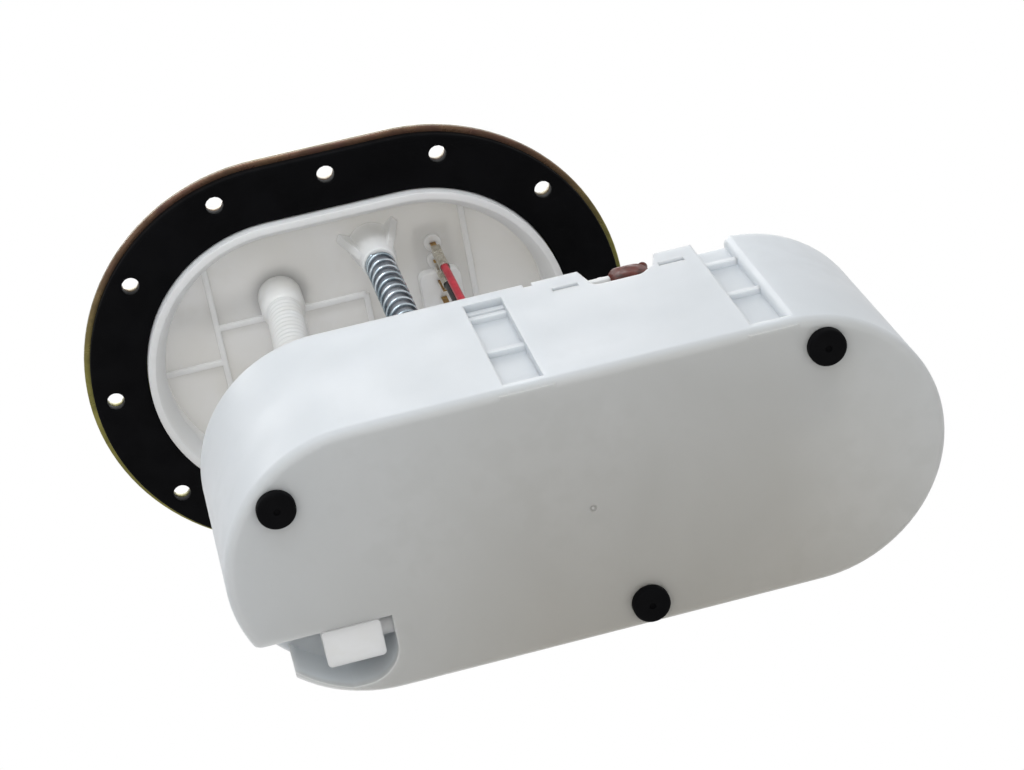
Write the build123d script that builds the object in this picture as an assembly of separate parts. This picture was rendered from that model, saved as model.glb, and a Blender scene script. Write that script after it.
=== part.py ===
"""Fuel pump module: an oval flange with a lid, two sprung guide rods and a reservoir with the pump.

Millimetres. The origin is the middle of the flange's seating plane, the gasket's underside.
+Z points out of the tank through the flange, and X runs along the module.
"""

import os
from math import atan2, cos, degrees, pi, radians, sin, sqrt

from build123d import *

# ---------------------------------------------------------------- driving dimensions
# Clearances.
SLIP_GAP = 0.05          # radial, between a fixed pin, pipe or rod and the bore that holds it
RUN_GAP = 0.05           # radial, between a moving rod or shaft and its bearing
EDGE_GAP = 0.3           # round rubber, hoses and dropped-in pieces

# Flange plate and gasket.
FLANGE_HALF_STRAIGHT = 24.5   # from the middle to the centre of each end arc
PLATE_R = 77.0
PLATE_THICK = 2.5
PLATE_OPENING_R = 50.5
PLATE_EDGE_R = 0.8
GASKET_INSET = 2.0       # gasket inside the plate's outline
GASKET_THICK = 4.0
BOLT_INSET = 9.5         # bolt holes inside the plate's outline
BOLT_TURNS = (-75.8, -39.2, 0.0, 39.2, 75.8)   # round each end arc, from the long axis
BOLT_HOLE_R = 3.2

# Lid.
LID_R = 54.4
LID_RIM_WALL = 2.6
LID_RIM_DROP = 4.0       # how far the locating rim reaches into the tank's opening
LID_CROWN = 16.0         # top of the lid above the seating plane
LID_WALL = 2.5
LID_BEAD = 2.2           # lip over the plate's inner edge
LID_BEAD_TALL = 2.5
LID_CROWN_EDGE_R = 2.0
LID_RIB_WIDE = 2.0
LID_RIB_TALL = 1.8
LID_RIB_LEFT_X = -50.0
LID_RIB_RIGHT_X = 6.5
LID_RIB_STEP_X = 47.0
LID_RIB_SIDE_Y = 13.5

# Guide rods, their bosses in the lid and their springs.
ROD_X = 12.0
ROD_Y = 32.0
ROD_R = 4.0
ROD_SEAT = 11.0          # length of rod held in the lid's boss
ROD_TAIL = 4.0           # rod beyond its retaining clip
BOSS_R = 6.3
BOSS_TOP_R = 8.6         # boss where it meets the lid
BOSS_DROP = 21.0         # boss below the lid's inner face
BOSS_EDGE_R = 0.6
GUSSET_REACH = 13.0
GUSSET_WIDE = 3.0
GUSSET_TURNS = (205.0, 323.0)
CLIP_R = 7.0
CLIP_THICK = 1.0
CLIP_GROOVE = 0.6
SPRING_R = 5.6           # outside
SPRING_WIRE_R = 0.7
SPRING_TURNS = 15

# Reservoir.
MODULE_DEPTH = 165.0     # seating plane to the reservoir's underside, springs extended
TRAVEL = 32.0            # how far the reservoir can be pushed up its rods
RES_X = 49.0             # reservoir's middle
RES_HALF_STRAIGHT = 70.5
RES_R = 47.0
RES_TALL = 76.0
RES_WALL = 2.4
RES_FLOOR = 2.5
RES_EDGE_R = 3.0
SLEEVE_R = 7.0
SLEEVE_DROP = 2.0        # sleeves below the reservoir's top edge
SLEEVE_LONG = 30.0
SLEEVE_WEB = 3.0
GROOVE_DEEP = 4.0
GROOVE_LEFT_X = 28.5
GROOVE_LEFT_WIDE = 13.0
GROOVE_RIGHT_X = 108.5
GROOVE_RIGHT_WIDE = 11.5
GROOVE_FOOT = 5.0
GROOVE_LIP = 5.5         # closed band over the left groove
GROOVE_BLEND_R = 3.0
LEDGE_PROUD = 2.0
LEDGE_TALL = 2.2
LEDGES_LEFT = (34.0, 62.0, 66.2)
LEDGES_RIGHT = (34.0, 60.0)
SCOOP_X = 69.0
SCOOP_WIDE = 24.0
SCOOP_FLOOR = 62.0
SCOOP_CORNER_R = 3.0
SCOOP_LEAN = 2.5
NOTCH_X = 50.0
NOTCH_WIDE = 3.0
NOTCH_DEEP = 2.5
WINDOW_XS = (62.7, 99.3)
WINDOW_WIDE = 8.8
WINDOW_TALL = 2.8
WINDOW_DROP = 11.2       # windows' lower edge below the top edge
GATE_R = 1.2
GATE_TALL = 0.4

# Inlet channel in the reservoir's underside, with the jet pump in it.
CHANNEL_Y = 19.5
CHANNEL_LONG = 48.5      # from the reservoir's end
CHANNEL_TALL = 20.0
CHANNEL_CORNER_R = 12.0
CHANNEL_DEEP_Y = 42.0    # how far the channel's inner end reaches toward the outer wall
CHANNEL_MOUTH = 15.0     # the outer wall is open this far from the reservoir's end
JET_INSET = 25.5         # jet pump from the reservoir's end
JET_LONG = 19.0
JET_WIDE = 13.0
JET_TALL = 16.0
JET_CORNER_R = 1.5
MIXER_R = 4.0
MIXER_BORE_R = 2.2
MIXER_HEIGHT = 9.0
MIXER_REACH = 14.0
NOZZLE_R = 3.0
NOZZLE_BORE_R = 1.2
NOZZLE_TOP = 30.0
VALVE_INSET = 19.0       # valve from the reservoir's end
VALVE_Y = 25.5
VALVE_R = 6.0
VALVE_THICK = 1.2
VALVE_STEM_R = 1.4
VALVE_LIFT = 1.5
VALVE_PORT_R = 1.3
VALVE_PORT_PATH_R = 3.6
VALVE_PORT_COUNT = 6

# Rubber feet.
FOOT_R = 6.2
FOOT_TALL = 3.5
FOOT_INSET = 9.0
FOOT_STEM_R = 2.0
FOOT_BUTTON_R = 3.4
FOOT_BUTTON_TALL = 2.0
FOOT_EDGE_R = 0.8
FOOT_DIMPLE_R = 1.1
FOOT_DIMPLE_DEEP = 0.8
FOOT_LEFT_TURN = 226.0
FOOT_RIGHT_TURN = -74.0
FOOT_REAR_X = 62.0

# Electric pump, upright in the reservoir.
PUMP_X = 88.0
PUMP_Y = -20.0
PUMP_R = 19.0
CAN_WALL = 1.5
CAN_FOOT = 14.0
CAN_TOP = 66.0
INLET_FOOT = 12.0
INLET_TALL = 7.0
INLET_NIPPLE_R = 5.0
INLET_NIPPLE_LONG = 3.0
INLET_BORE_R = 3.2
ROTOR_FOOT = 28.0
ROTOR_TALL = 26.0
ROTOR_AIR_GAP = 0.6
ROTOR_SLOTS = 8
ROTOR_SLOT_WIDE = 2.4
ROTOR_SLOT_DEEP = 5.5
MAGNET_THICK = 2.2
MAGNET_SPAN = 140.0
SHAFT_R = 1.6
SHAFT_FOOT = 14.5
SHAFT_TOP = 65.5
BEARING_R = 3.6
BEARING_TALL = 3.0
COMMUTATOR_R = 7.0
BRUSH_LONG = 5.0
BRUSH_SIDE = 3.0
IMPELLER_R = 15.5
IMPELLER_TALL = 3.6
IMPELLER_VANES = 20
IMPELLER_NOTCH_R = 0.9
CAP_TOP = 74.0
CAP_SKIRT = 6.0
CAP_STEP_R = 16.0
PUMP_NIPPLE_R = 4.0
PUMP_NIPPLE_BORE_R = 2.4
PUMP_NIPPLE_TOP = 88.0
PUMP_NIPPLE_X = 84.0
PUMP_NIPPLE_Y = -11.0
BARB_PROUD = 0.5
BARB_TALL = 2.0
ISOLATOR_THICK = 1.8
ISOLATOR_TALL = 12.0
ISOLATOR_FOOT = 50.0

# Brown plug on the pump's terminals, in the scoop of the reservoir's wall.
PLUG_X = 86.5
PLUG_FRONT = 3.4         # behind the wall's outer face
PLUG_WIDE = 14.5
PLUG_DEEP = 9.5
PLUG_FOOT = 69.0
PLUG_TOP = 84.5
PLUG_ROUND_R = 5.5
PLUG_EDGE_R = 1.2
BLADE_TALL = 7.0
BLADE_SPREAD = 3.2
STUB_R = 1.9             # two closed stubs on the plug's top
STUB_TALL = 2.6
STUB_XS = (89.0, 93.0)
ENTRY_R = 2.4            # wire seals on the plug's back
ENTRY_LONG = 2.5
ENTRY_DEEP = 2.4         # wire inside the plug
ENTRY_RISE = 9.0         # wires above the plug's foot

# Strainer under the pump.
SOCK_LONG = 58.0
SOCK_WIDE = 26.0
SOCK_THICK = 5.5
SOCK_ROUND_R = 12.0
SOCK_BACK = 13.0         # sock behind the pump's axis
SOCK_COLLAR_R = 7.5
CRADLE_REACH = 5.0
CRADLE_WIDE = 2.5
CRADLE_TURNS = (90.0, 180.0, 270.0)

# Fine filter.
FILTER_X = 44.0
FILTER_Y = 4.0
FILTER_R = 25.0
FILTER_WALL = 1.8
FILTER_TOP = 62.0
FILTER_HEAD_TALL = 6.0
FILTER_HEAD_PROUD = 1.2
FILTER_NIPPLE_R = 4.5
FILTER_NIPPLE_BORE_R = 3.0
FILTER_NIPPLE_LONG = 13.0
FILTER_NIPPLE_HEIGHT = 20.0
FILTER_INLET_X = 56.0
FILTER_INLET_Y = -4.0
FILTER_INLET_TOP = 84.0
PLEAT_COUNT = 28
PLEAT_OUT_R = 21.5
PLEAT_IN_R = 14.0
PLEAT_CORE_R = 12.5

# Pressure regulator in the filter's head.
REG_X = 36.0
REG_Y = 12.0
REG_R = 9.0
REG_TALL = 9.0
REG_NECK_R = 5.0
REG_NECK_TALL = 8.0
REG_DOME_R = 6.5
REG_DOME_TALL = 5.0
REG_RING_R = 1.2
RETURN_R = 3.0
RETURN_BORE_R = 1.8
RETURN_LONG = 9.0
REG_CLIP_THICK = 1.0
REG_CLIP_R = 10.2
REG_CLIP_GAP = 7.0

# Reservoir cover.
COVER_X0 = 42.0
COVER_X1 = 117.0
COVER_DROP = 3.0         # cover's top below the top edge
COVER_THICK = 2.4
COVER_GAP = 0.4
COVER_RIB_TALL = 3.0
COLLAR_WALL = 2.0
COLLAR_TALL = 14.0
HOOK_WIDE = 7.6
HOOK_THICK = 1.6
HOOK_BARB = 1.8
HOOK_BARB_TALL = 2.2

# Hoses and wires.
HOSE_X = -25.0
HOSE_Y = -20.5
HOSE_R = 6.7
HOSE_BORE_R = 4.6
HOSE_CUFF_R = 8.1
HOSE_CUFF_LONG = 15.0
HOSE_CUFF_ROUND_R = 4.0
HOSE_TOP_DROP = 1.0      # hose below the lid's inner face
HOSE_BOW = 3.2           # how far the hose bows out between its ends
LINK_R = 6.0
LINK_BORE_R = 4.1
CLAMP_R = 6.9
CLAMP_TALL = 5.0
RETURN_HOSE_R = 4.2
RETURN_HOSE_BORE_R = 3.1
WIRE_R = 1.45
LEAD_ROOM = 9.5          # from the plug's back to where the nearer lead turns
LEAD_SPACING = 4.0
LEAD_SWING = 15.6        # how far a lead runs level before it turns
LEAD_DROP = 19.0         # height over the reservoir's edge where a lead leaves the pin's line
LEAD_CLEAR = 5.0         # height over the reservoir's edge as it crosses the cover

# Outlet fitting through the lid.
OUTLET_R = 6.0
OUTLET_BORE_R = 2.8
OUTLET_SHOULDER_WALL = 1.5
OUTLET_RISE = 12.0       # spigot's axis above the crown
SPIGOT_R = 3.95
SPIGOT_LONG = 40.0
SPIGOT_BEAD_R = 5.2
SPIGOT_BEAD_WIDE = 2.0
SPIGOT_BEAD_FROM_END = 17.0
OUTLET_TAIL = 9.0        # nipple below the lid's inner face
RING_R = 1.3

# Connector.
PIN_X = 34.4
PIN_FIRST_Y = -27.4
PIN_PITCH = 7.0
PIN_COUNT = 4
PIN_WIDE = 2.2
PIN_THICK = 0.8
PIN_TOP = 9.0            # above the crown
PIN_TAIL = 15.0          # below the lid's inner face
PIN_BLOCK_WIDE = 15.5
PIN_BLOCK_TALL = 5.0
PIN_BLOCK_Y0 = -17.0
PIN_BLOCK_Y1 = 9.0
PIN_BLOCK_ROUND_R = 3.0
SOCKET_TALL = 16.0
SOCKET_WALL = 1.8
SOCKET_ROOM = 5.2        # from the pins to the shroud's inside
SOCKET_CORNER_R = 3.0
LATCH_WIDE = 6.0
LATCH_PROUD = 1.6
LATCH_TALL = 3.0
CRIMP_R = 1.9
CRIMP_LONG = 12.0
CRIMP_BOX = 3.2
CRIMP_BOX_LONG = 7.0

# ---------------------------------------------------------------- worked-out places
LID_INNER = LID_CROWN - LID_WALL
PLATE_FOOT = GASKET_THICK
PLATE_TOP = GASKET_THICK + PLATE_THICK
NECK_R = PLATE_OPENING_R - EDGE_GAP
RES_FOOT = -MODULE_DEPTH
RES_INNER_R = RES_R - RES_WALL
RES_LEFT_X = RES_X - RES_HALF_STRAIGHT
RES_RIGHT_X = RES_X + RES_HALF_STRAIGHT
RES_END_X = RES_LEFT_X - RES_R
CHANNEL_END_X = RES_END_X + CHANNEL_LONG
JET_X = RES_END_X + JET_INSET
VALVE_X = RES_END_X + VALVE_INSET
SLEEVE_TOP = RES_TALL - SLEEVE_DROP
WINDOW_FOOT = RES_TALL - WINDOW_DROP
COVER_TOP = RES_TALL - COVER_DROP
BOSS_END = LID_INNER - BOSS_DROP
ROD_TOP = BOSS_END + ROD_SEAT
CAN_BORE_R = PUMP_R - CAN_WALL
ROTOR_R = CAN_BORE_R - MAGNET_THICK - ROTOR_AIR_GAP
FULL_TURN = 360.0

BOTTOM = (Align.CENTER, Align.CENTER, Align.MIN)


# ---------------------------------------------------------------- small helpers
def up(height):
    """The level of a height above the reservoir's underside."""
    return RES_FOOT + height


def disc(x, y, radius, low, high):
    """An upright cylinder between two levels."""
    return Pos(x, y, low) * Cylinder(radius, high - low, align=BOTTOM)


def tube(x, y, outer, inner, low, high):
    """An upright tube between two levels."""
    return disc(x, y, outer, low, high) - disc(x, y, inner, low, high)


def block(x0, x1, y0, y1, low, high):
    """A box between two corners."""
    middle = Pos((x0 + x1) / 2, (y0 + y1) / 2, (low + high) / 2)
    return middle * Box(x1 - x0, y1 - y0, high - low)


def oval(half_straight, radius, low, high, x=0.0):
    """A stadium-shaped slab: two end arcs joined by straight sides."""
    outline = SlotCenterToCenter(2 * half_straight, 2 * radius)
    return extrude(Pos(x, 0, low) * outline, amount=high - low)


def ring(x, y, path_r, section_r, level):
    """A rubber O-ring lying flat."""
    return Pos(x, y, level) * Torus(path_r, section_r)


def mirrored(piece):
    """The same piece on the other side of the module's long middle plane."""
    return mirror(piece, about=Plane.XZ)


def around(x, y, turn, reach):
    """A place at a distance from an upright axis."""
    return x + reach * cos(radians(turn)), y + reach * sin(radians(turn))


def route(points, share=0.45):
    """Straight runs joined by arcs as large as their runs allow."""
    nodes = [Vector(*point) for point in points]
    radii = []
    for before, corner, after in zip(nodes, nodes[1:], nodes[2:]):
        turn = radians((corner - before).get_angle(after - corner))
        shorter = min((corner - before).length, (after - corner).length)
        radii.append(share * shorter * cos(turn / 2) / sin(turn / 2))
    return FilletPolyline(*nodes, radius=radii), radii


def pipe(points, outer, inner=0.0):
    """A hose or wire of round section along a route, hollow if it has a bore."""
    path, radii = route(points)
    start = Plane(origin=path @ 0, z_dir=path % 0)
    solid = sweep(start * Circle(outer), path=path)
    if inner:
        solid -= sweep(start * Circle(inner), path=path)
    print("arc radii", [round(radius, 1) for radius in radii])
    return solid


# ---------------------------------------------------------------- flange
def bolt_places():
    """Bolts in the middle of each long side and round both end arcs."""
    reach = PLATE_R - BOLT_INSET
    places = [(0, -reach), (0, reach)]
    for turn in BOLT_TURNS:
        x, y = around(FLANGE_HALF_STRAIGHT, 0, turn, reach)
        places += [(x, y), (-x, y)]
    return places


def bolt_holes(low, high):
    """All bolt holes as cutters."""
    return [disc(x, y, BOLT_HOLE_R, low, high) for x, y in bolt_places()]


def flange_plate():
    """The zinc-plated steel ring that clamps the gasket."""
    plate = oval(FLANGE_HALF_STRAIGHT, PLATE_R, PLATE_FOOT, PLATE_TOP)
    rims = plate.edges().filter_by(Plane.XY).group_by(Axis.Z)
    plate = fillet(list(rims[0]) + list(rims[-1]), PLATE_EDGE_R)
    plate -= oval(FLANGE_HALF_STRAIGHT, PLATE_OPENING_R, PLATE_FOOT, PLATE_TOP)
    return plate - bolt_holes(PLATE_FOOT, PLATE_TOP)


def flange_gasket():
    """The flat rubber gasket under the plate, round the lid's rim."""
    gasket = oval(FLANGE_HALF_STRAIGHT, PLATE_R - GASKET_INSET, 0, GASKET_THICK)
    gasket -= oval(FLANGE_HALF_STRAIGHT, LID_R + EDGE_GAP, 0, GASKET_THICK)
    return gasket - bolt_holes(0, GASKET_THICK)


def gusset(turn):
    """One triangular web from a rod's boss up to the lid."""
    low = BOSS_END + GUSSET_WIDE
    outline = Polyline((0, LID_INNER), (GUSSET_REACH, LID_INNER), (BOSS_R, low), (0, low), close=True)
    face = make_face(Plane.XZ * outline)
    web = extrude(face, amount=GUSSET_WIDE / 2, both=True)
    return Pos(ROD_X, -ROD_Y, 0) * Rot(0, 0, turn) * web


def rod_boss():
    """The boss that holds the front guide rod, with its webs and without its bore."""
    boss = Pos(ROD_X, -ROD_Y, BOSS_END) * Cone(BOSS_R, BOSS_TOP_R, BOSS_DROP, align=BOTTOM)
    foot = boss.edges().filter_by(GeomType.CIRCLE).sort_by(Axis.Z)[0]
    boss = fillet(foot, BOSS_EDGE_R)
    for turn in GUSSET_TURNS:
        boss += gusset(turn)
    return boss


def lid_ribs():
    """The stiffening ribs under the lid."""
    low, half = LID_INNER - LID_RIB_TALL, LID_RIB_WIDE / 2
    side = LID_R
    ribs = block(LID_RIB_LEFT_X - half, LID_RIB_LEFT_X + half, -side, side, low, LID_INNER)
    ribs += block(LID_RIB_STEP_X - half, LID_RIB_STEP_X + half, -side, side, low, LID_INNER)
    ribs += block(-FLANGE_HALF_STRAIGHT - side, LID_RIB_LEFT_X, -half, half, low, LID_INNER)
    ribs += block(
        LID_RIB_RIGHT_X - half, LID_RIB_RIGHT_X + half, -LID_RIB_SIDE_Y, LID_RIB_SIDE_Y, low, LID_INNER
    )
    for y in (-LID_RIB_SIDE_Y, LID_RIB_SIDE_Y):
        ribs += block(LID_RIB_LEFT_X, LID_RIB_RIGHT_X, y - half, y + half, low, LID_INNER)
    return ribs


def pin_places():
    """Where the connector's pins stand."""
    return [(PIN_X, PIN_FIRST_Y + index * PIN_PITCH) for index in range(PIN_COUNT)]


def connector_shroud():
    """The upright shroud round the pins, on top of the lid, with the plug's latch ramp."""
    span = (PIN_COUNT - 1) * PIN_PITCH
    middle = Pos(PIN_X, PIN_FIRST_Y + span / 2, LID_CROWN)
    wide, long = 2 * (SOCKET_ROOM + SOCKET_WALL), span + 2 * (SOCKET_ROOM + SOCKET_WALL)
    shroud = extrude(RectangleRounded(wide, long, SOCKET_CORNER_R), amount=SOCKET_TALL)
    room = RectangleRounded(wide - 2 * SOCKET_WALL, long - 2 * SOCKET_WALL, SOCKET_CORNER_R - SOCKET_WALL)
    shroud -= extrude(room, amount=SOCKET_TALL)
    ramp = Polyline(
        (wide / 2, SOCKET_TALL - 2 * LATCH_TALL),
        (wide / 2 + LATCH_PROUD, SOCKET_TALL - LATCH_TALL),
        (wide / 2, SOCKET_TALL - LATCH_TALL),
        close=True,
    )
    shroud += extrude(make_face(Plane.XZ * ramp), amount=LATCH_WIDE / 2, both=True)
    return middle * shroud


def lid():
    """The moulded lid: a recessed oval dish that grips the plate's inner edge."""
    body = oval(FLANGE_HALF_STRAIGHT, LID_R, -LID_RIM_DROP, PLATE_FOOT)
    crown = oval(FLANGE_HALF_STRAIGHT, NECK_R, PLATE_FOOT, LID_CROWN)
    crown = fillet(crown.edges().filter_by(Plane.XY).group_by(Axis.Z)[-1], LID_CROWN_EDGE_R)
    body += crown
    body += oval(FLANGE_HALF_STRAIGHT, NECK_R + LID_BEAD, PLATE_TOP, PLATE_TOP + LID_BEAD_TALL)
    mouth = SlotCenterToCenter(2 * FLANGE_HALF_STRAIGHT, 2 * (LID_R - LID_RIM_WALL))
    throat = SlotCenterToCenter(2 * FLANGE_HALF_STRAIGHT, 2 * (NECK_R - LID_WALL))
    body -= loft([Pos(0, 0, -LID_RIM_DROP) * mouth, Pos(0, 0, PLATE_FOOT) * throat])
    body -= oval(FLANGE_HALF_STRAIGHT, NECK_R - LID_WALL, PLATE_FOOT, LID_INNER)
    room = oval(FLANGE_HALF_STRAIGHT, NECK_R - LID_WALL / 2, PLATE_FOOT, LID_INNER)
    body += (lid_ribs() & room) - disc(HOSE_X, HOSE_Y, HOSE_CUFF_R + EDGE_GAP, PLATE_FOOT, LID_INNER)
    body += rod_boss()
    body += mirrored(rod_boss())
    pad = RectangleRounded(PIN_BLOCK_WIDE, PIN_BLOCK_Y1 - PIN_BLOCK_Y0, PIN_BLOCK_ROUND_R)
    pad = Pos(PIN_X, (PIN_BLOCK_Y0 + PIN_BLOCK_Y1) / 2, LID_INNER - PIN_BLOCK_TALL) * pad
    body += extrude(pad, amount=PIN_BLOCK_TALL)
    for x, y in pin_places():
        body += disc(x, y, PIN_PITCH / 2 - EDGE_GAP, LID_INNER - LID_RIB_TALL, LID_INNER)
    body += connector_shroud()
    for y in (-ROD_Y, ROD_Y):
        body -= disc(ROD_X, y, ROD_R + SLIP_GAP, BOSS_END, ROD_TOP)
    body -= disc(HOSE_X, HOSE_Y, OUTLET_R + SLIP_GAP, LID_INNER, LID_CROWN)
    for x, y in pin_places():
        body -= block(
            x - PIN_WIDE / 2, x + PIN_WIDE / 2, y - PIN_THICK / 2, y + PIN_THICK / 2,
            LID_INNER - PIN_BLOCK_TALL, LID_CROWN,
        )
    return body


def ring_path():
    """Radius on which the outlet's O-ring lies, in its room under the shoulder."""
    return OUTLET_R + EDGE_GAP + RING_R


def outlet_fitting():
    """The fuel outlet: a nipple below the lid and an elbow to a quick-connect spigot above it."""
    axis_level = LID_CROWN + OUTLET_RISE
    body = disc(HOSE_X, HOSE_Y, OUTLET_R, LID_INNER - HOSE_TOP_DROP + EDGE_GAP, axis_level)
    room_r, room_top = ring_path() + RING_R + EDGE_GAP, LID_CROWN + 2 * RING_R + EDGE_GAP
    body += disc(HOSE_X, HOSE_Y, room_r + OUTLET_SHOULDER_WALL, LID_CROWN, room_top + OUTLET_SHOULDER_WALL)
    body -= tube(HOSE_X, HOSE_Y, room_r, OUTLET_R, LID_CROWN, room_top)
    body += Pos(HOSE_X, HOSE_Y, axis_level) * Sphere(OUTLET_R)
    tail = LID_INNER - OUTLET_TAIL
    body += disc(HOSE_X, HOSE_Y, HOSE_BORE_R - SLIP_GAP, tail, LID_INNER)
    elbow = Pos(HOSE_X, HOSE_Y, axis_level) * Rot(0, -90, 0)
    body += elbow * Cylinder(SPIGOT_R, SPIGOT_LONG, align=BOTTOM)
    bead = SPIGOT_LONG - SPIGOT_BEAD_FROM_END
    body += elbow * Pos(0, 0, bead) * Cylinder(SPIGOT_BEAD_R, SPIGOT_BEAD_WIDE, align=BOTTOM)
    body -= disc(HOSE_X, HOSE_Y, OUTLET_BORE_R, tail, axis_level)
    return body - elbow * Cylinder(OUTLET_BORE_R, SPIGOT_LONG, align=BOTTOM)


def connector_pins():
    """The flat brass pins through the lid."""
    low, high = LID_INNER - PIN_TAIL, LID_CROWN + PIN_TOP
    return [
        block(
            x - PIN_WIDE / 2 + SLIP_GAP, x + PIN_WIDE / 2 - SLIP_GAP,
            y - PIN_THICK / 2 + SLIP_GAP, y + PIN_THICK / 2 - SLIP_GAP, low, high,
        )
        for x, y in pin_places()
    ]


def wire_terminals():
    """The crimped terminals pushed over the first two pins."""
    low = LID_INNER - PIN_TAIL
    pieces = []
    for x, y in pin_places()[:2]:
        half = CRIMP_BOX / 2
        shell = block(x - half, x + half, y - half, y + half, low, low + CRIMP_BOX_LONG)
        shell += disc(x, y, CRIMP_R, low - CRIMP_LONG, low)
        shell -= block(
            x - PIN_WIDE / 2, x + PIN_WIDE / 2, y - PIN_THICK / 2, y + PIN_THICK / 2,
            low, low + CRIMP_BOX_LONG,
        )
        shell -= disc(x, y, WIRE_R + SLIP_GAP, low - CRIMP_LONG, low - CRIMP_LONG / 2)
        pieces.append(shell)
    return pieces


# ---------------------------------------------------------------- rods and springs
def rod_foot():
    """Level of the guide rods' lower ends."""
    return up(SLEEVE_TOP - SLEEVE_LONG) - EDGE_GAP - CLIP_THICK - ROD_TAIL


def guide_rod(y):
    """A steel rod with the groove for its retaining clip."""
    rod = disc(ROD_X, y, ROD_R, rod_foot(), ROD_TOP)
    low = rod_foot() + ROD_TAIL
    groove = tube(ROD_X, y, ROD_R, ROD_R - CLIP_GROOVE, low - SLIP_GAP, low + CLIP_THICK + SLIP_GAP)
    ends = rod.edges().filter_by(GeomType.CIRCLE)
    return chamfer(ends, CLIP_GROOVE) - groove


def rod_clip(y):
    """The E-clip that stops the sleeve at the rod's end."""
    low = rod_foot() + ROD_TAIL
    clip = tube(ROD_X, y, CLIP_R, ROD_R - CLIP_GROOVE + SLIP_GAP, low, low + CLIP_THICK)
    mouth = ROD_R - CLIP_GROOVE
    return clip - block(ROD_X, ROD_X + CLIP_R, y - mouth, y + mouth, low, low + CLIP_THICK)


def spring(y):
    """A compression spring between the lid's boss and the reservoir's sleeve."""
    low, high = up(SLEEVE_TOP) + SPRING_WIRE_R, BOSS_END - SPRING_WIRE_R
    path = Helix(pitch=(high - low) / SPRING_TURNS, height=high - low, radius=SPRING_R - SPRING_WIRE_R)
    start = Plane(origin=path @ 0, z_dir=path % 0)
    return Pos(ROD_X, y, low) * sweep(start * Circle(SPRING_WIRE_R), path=path, is_frenet=True)


# ---------------------------------------------------------------- reservoir
def groove_cut(x, wide, top, ledges):
    """A recess in the front wall with its ledges left standing."""
    face = -RES_R
    cut = block(x, x + wide, face, face + GROOVE_DEEP, up(GROOVE_FOOT), top)
    for height in ledges:
        front = face + GROOVE_DEEP - LEDGE_PROUD
        cut -= block(x, x + wide, front, face + GROOVE_DEEP, up(height), up(height + LEDGE_TALL))
    return cut


def groove_backing(x, wide):
    """The wall's inner side behind a groove."""
    inside = -RES_R + GROOVE_DEEP + RES_WALL
    return block(x - RES_WALL, x + wide + RES_WALL, -RES_R + RES_WALL / 2, inside, up(0), up(RES_TALL))


def groove_shoulder():
    """The rounding of the right groove's far edge."""
    x, face = GROOVE_RIGHT_X + GROOVE_RIGHT_WIDE, -RES_R
    low, high, blend = up(GROOVE_FOOT), up(RES_TALL), GROOVE_BLEND_R
    cut = block(x, x + blend, face, face + blend, low, high)
    return cut - disc(x + blend, face + blend, blend, low, high)


def scoop_cut():
    """The dip in the front wall's top edge that clears the pump's plug."""
    right = SCOOP_X + SCOOP_WIDE
    outline = Polyline(
        (SCOOP_X, up(RES_TALL)),
        (SCOOP_X + SCOOP_LEAN, up(SCOOP_FLOOR)),
        (right - 2 * SCOOP_LEAN, up(SCOOP_FLOOR)),
        (right, up(SCOOP_FLOOR) + 2 * SCOOP_LEAN),
        (right + SCOOP_LEAN, up(RES_TALL)),
        close=True,
    )
    face = make_face(Plane.XZ * outline)
    corners = face.vertices().sort_by(Axis.Z)[:2]
    face = fillet(corners, SCOOP_CORNER_R)
    return Pos(0, -RES_R + RES_WALL, 0) * extrude(face, amount=RES_WALL)


def channel_plan(grow=0.0):
    """Plan of the inlet channel inside the reservoir's outer wall, with a rounded inner corner."""
    end_x, side_y = CHANNEL_END_X + grow, CHANNEL_Y - grow
    inner = Pos(RES_X, 0, 0) * SlotCenterToCenter(2 * RES_HALF_STRAIGHT, 2 * RES_INNER_R)
    corner_y = CHANNEL_DEEP_Y + grow
    rounded = RectangleRounded(2 * RES_R + grow, 2 * corner_y, CHANNEL_CORNER_R + grow)
    rounded = Pos(end_x - RES_R - grow / 2, 0, 0) * rounded
    strip = Pos(end_x - RES_R, (side_y + RES_R) / 2, 0) * Rectangle(2 * RES_R, RES_R - side_y)
    return inner & rounded & strip


def jet_y():
    """Middle of the jet pump across the channel."""
    return CHANNEL_Y + EDGE_GAP + JET_WIDE / 2


def valve_ports():
    """Places of the ports under the inlet valve."""
    step = FULL_TURN / VALVE_PORT_COUNT
    return [around(VALVE_X, VALVE_Y, index * step, VALVE_PORT_PATH_R) for index in range(VALVE_PORT_COUNT)]


def foot_places():
    """The three feet, all set in from the outline by the same amount."""
    reach = RES_R - FOOT_INSET
    return [
        around(RES_LEFT_X, 0, FOOT_LEFT_TURN, reach),
        around(RES_RIGHT_X, 0, FOOT_RIGHT_TURN, reach),
        (FOOT_REAR_X, reach),
    ]


def cradle_rib(turn):
    """One rib on the reservoir's floor that carries the pump."""
    half = CRADLE_WIDE / 2
    rib = block(PUMP_R - CRADLE_REACH, PUMP_R, -half, half, up(RES_FLOOR), up(INLET_FOOT))
    return Pos(PUMP_X, PUMP_Y, 0) * Rot(0, 0, turn) * rib


def sleeve_web(y):
    """The web that ties a guide sleeve to the wall."""
    low, high = up(SLEEVE_TOP - SLEEVE_LONG), up(SLEEVE_TOP)
    y0, y1 = sorted((y, y / abs(y) * (RES_R - RES_WALL / 2)))
    return block(ROD_X - SLEEVE_WEB / 2, ROD_X + SLEEVE_WEB / 2, y0, y1, low, high)


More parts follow.
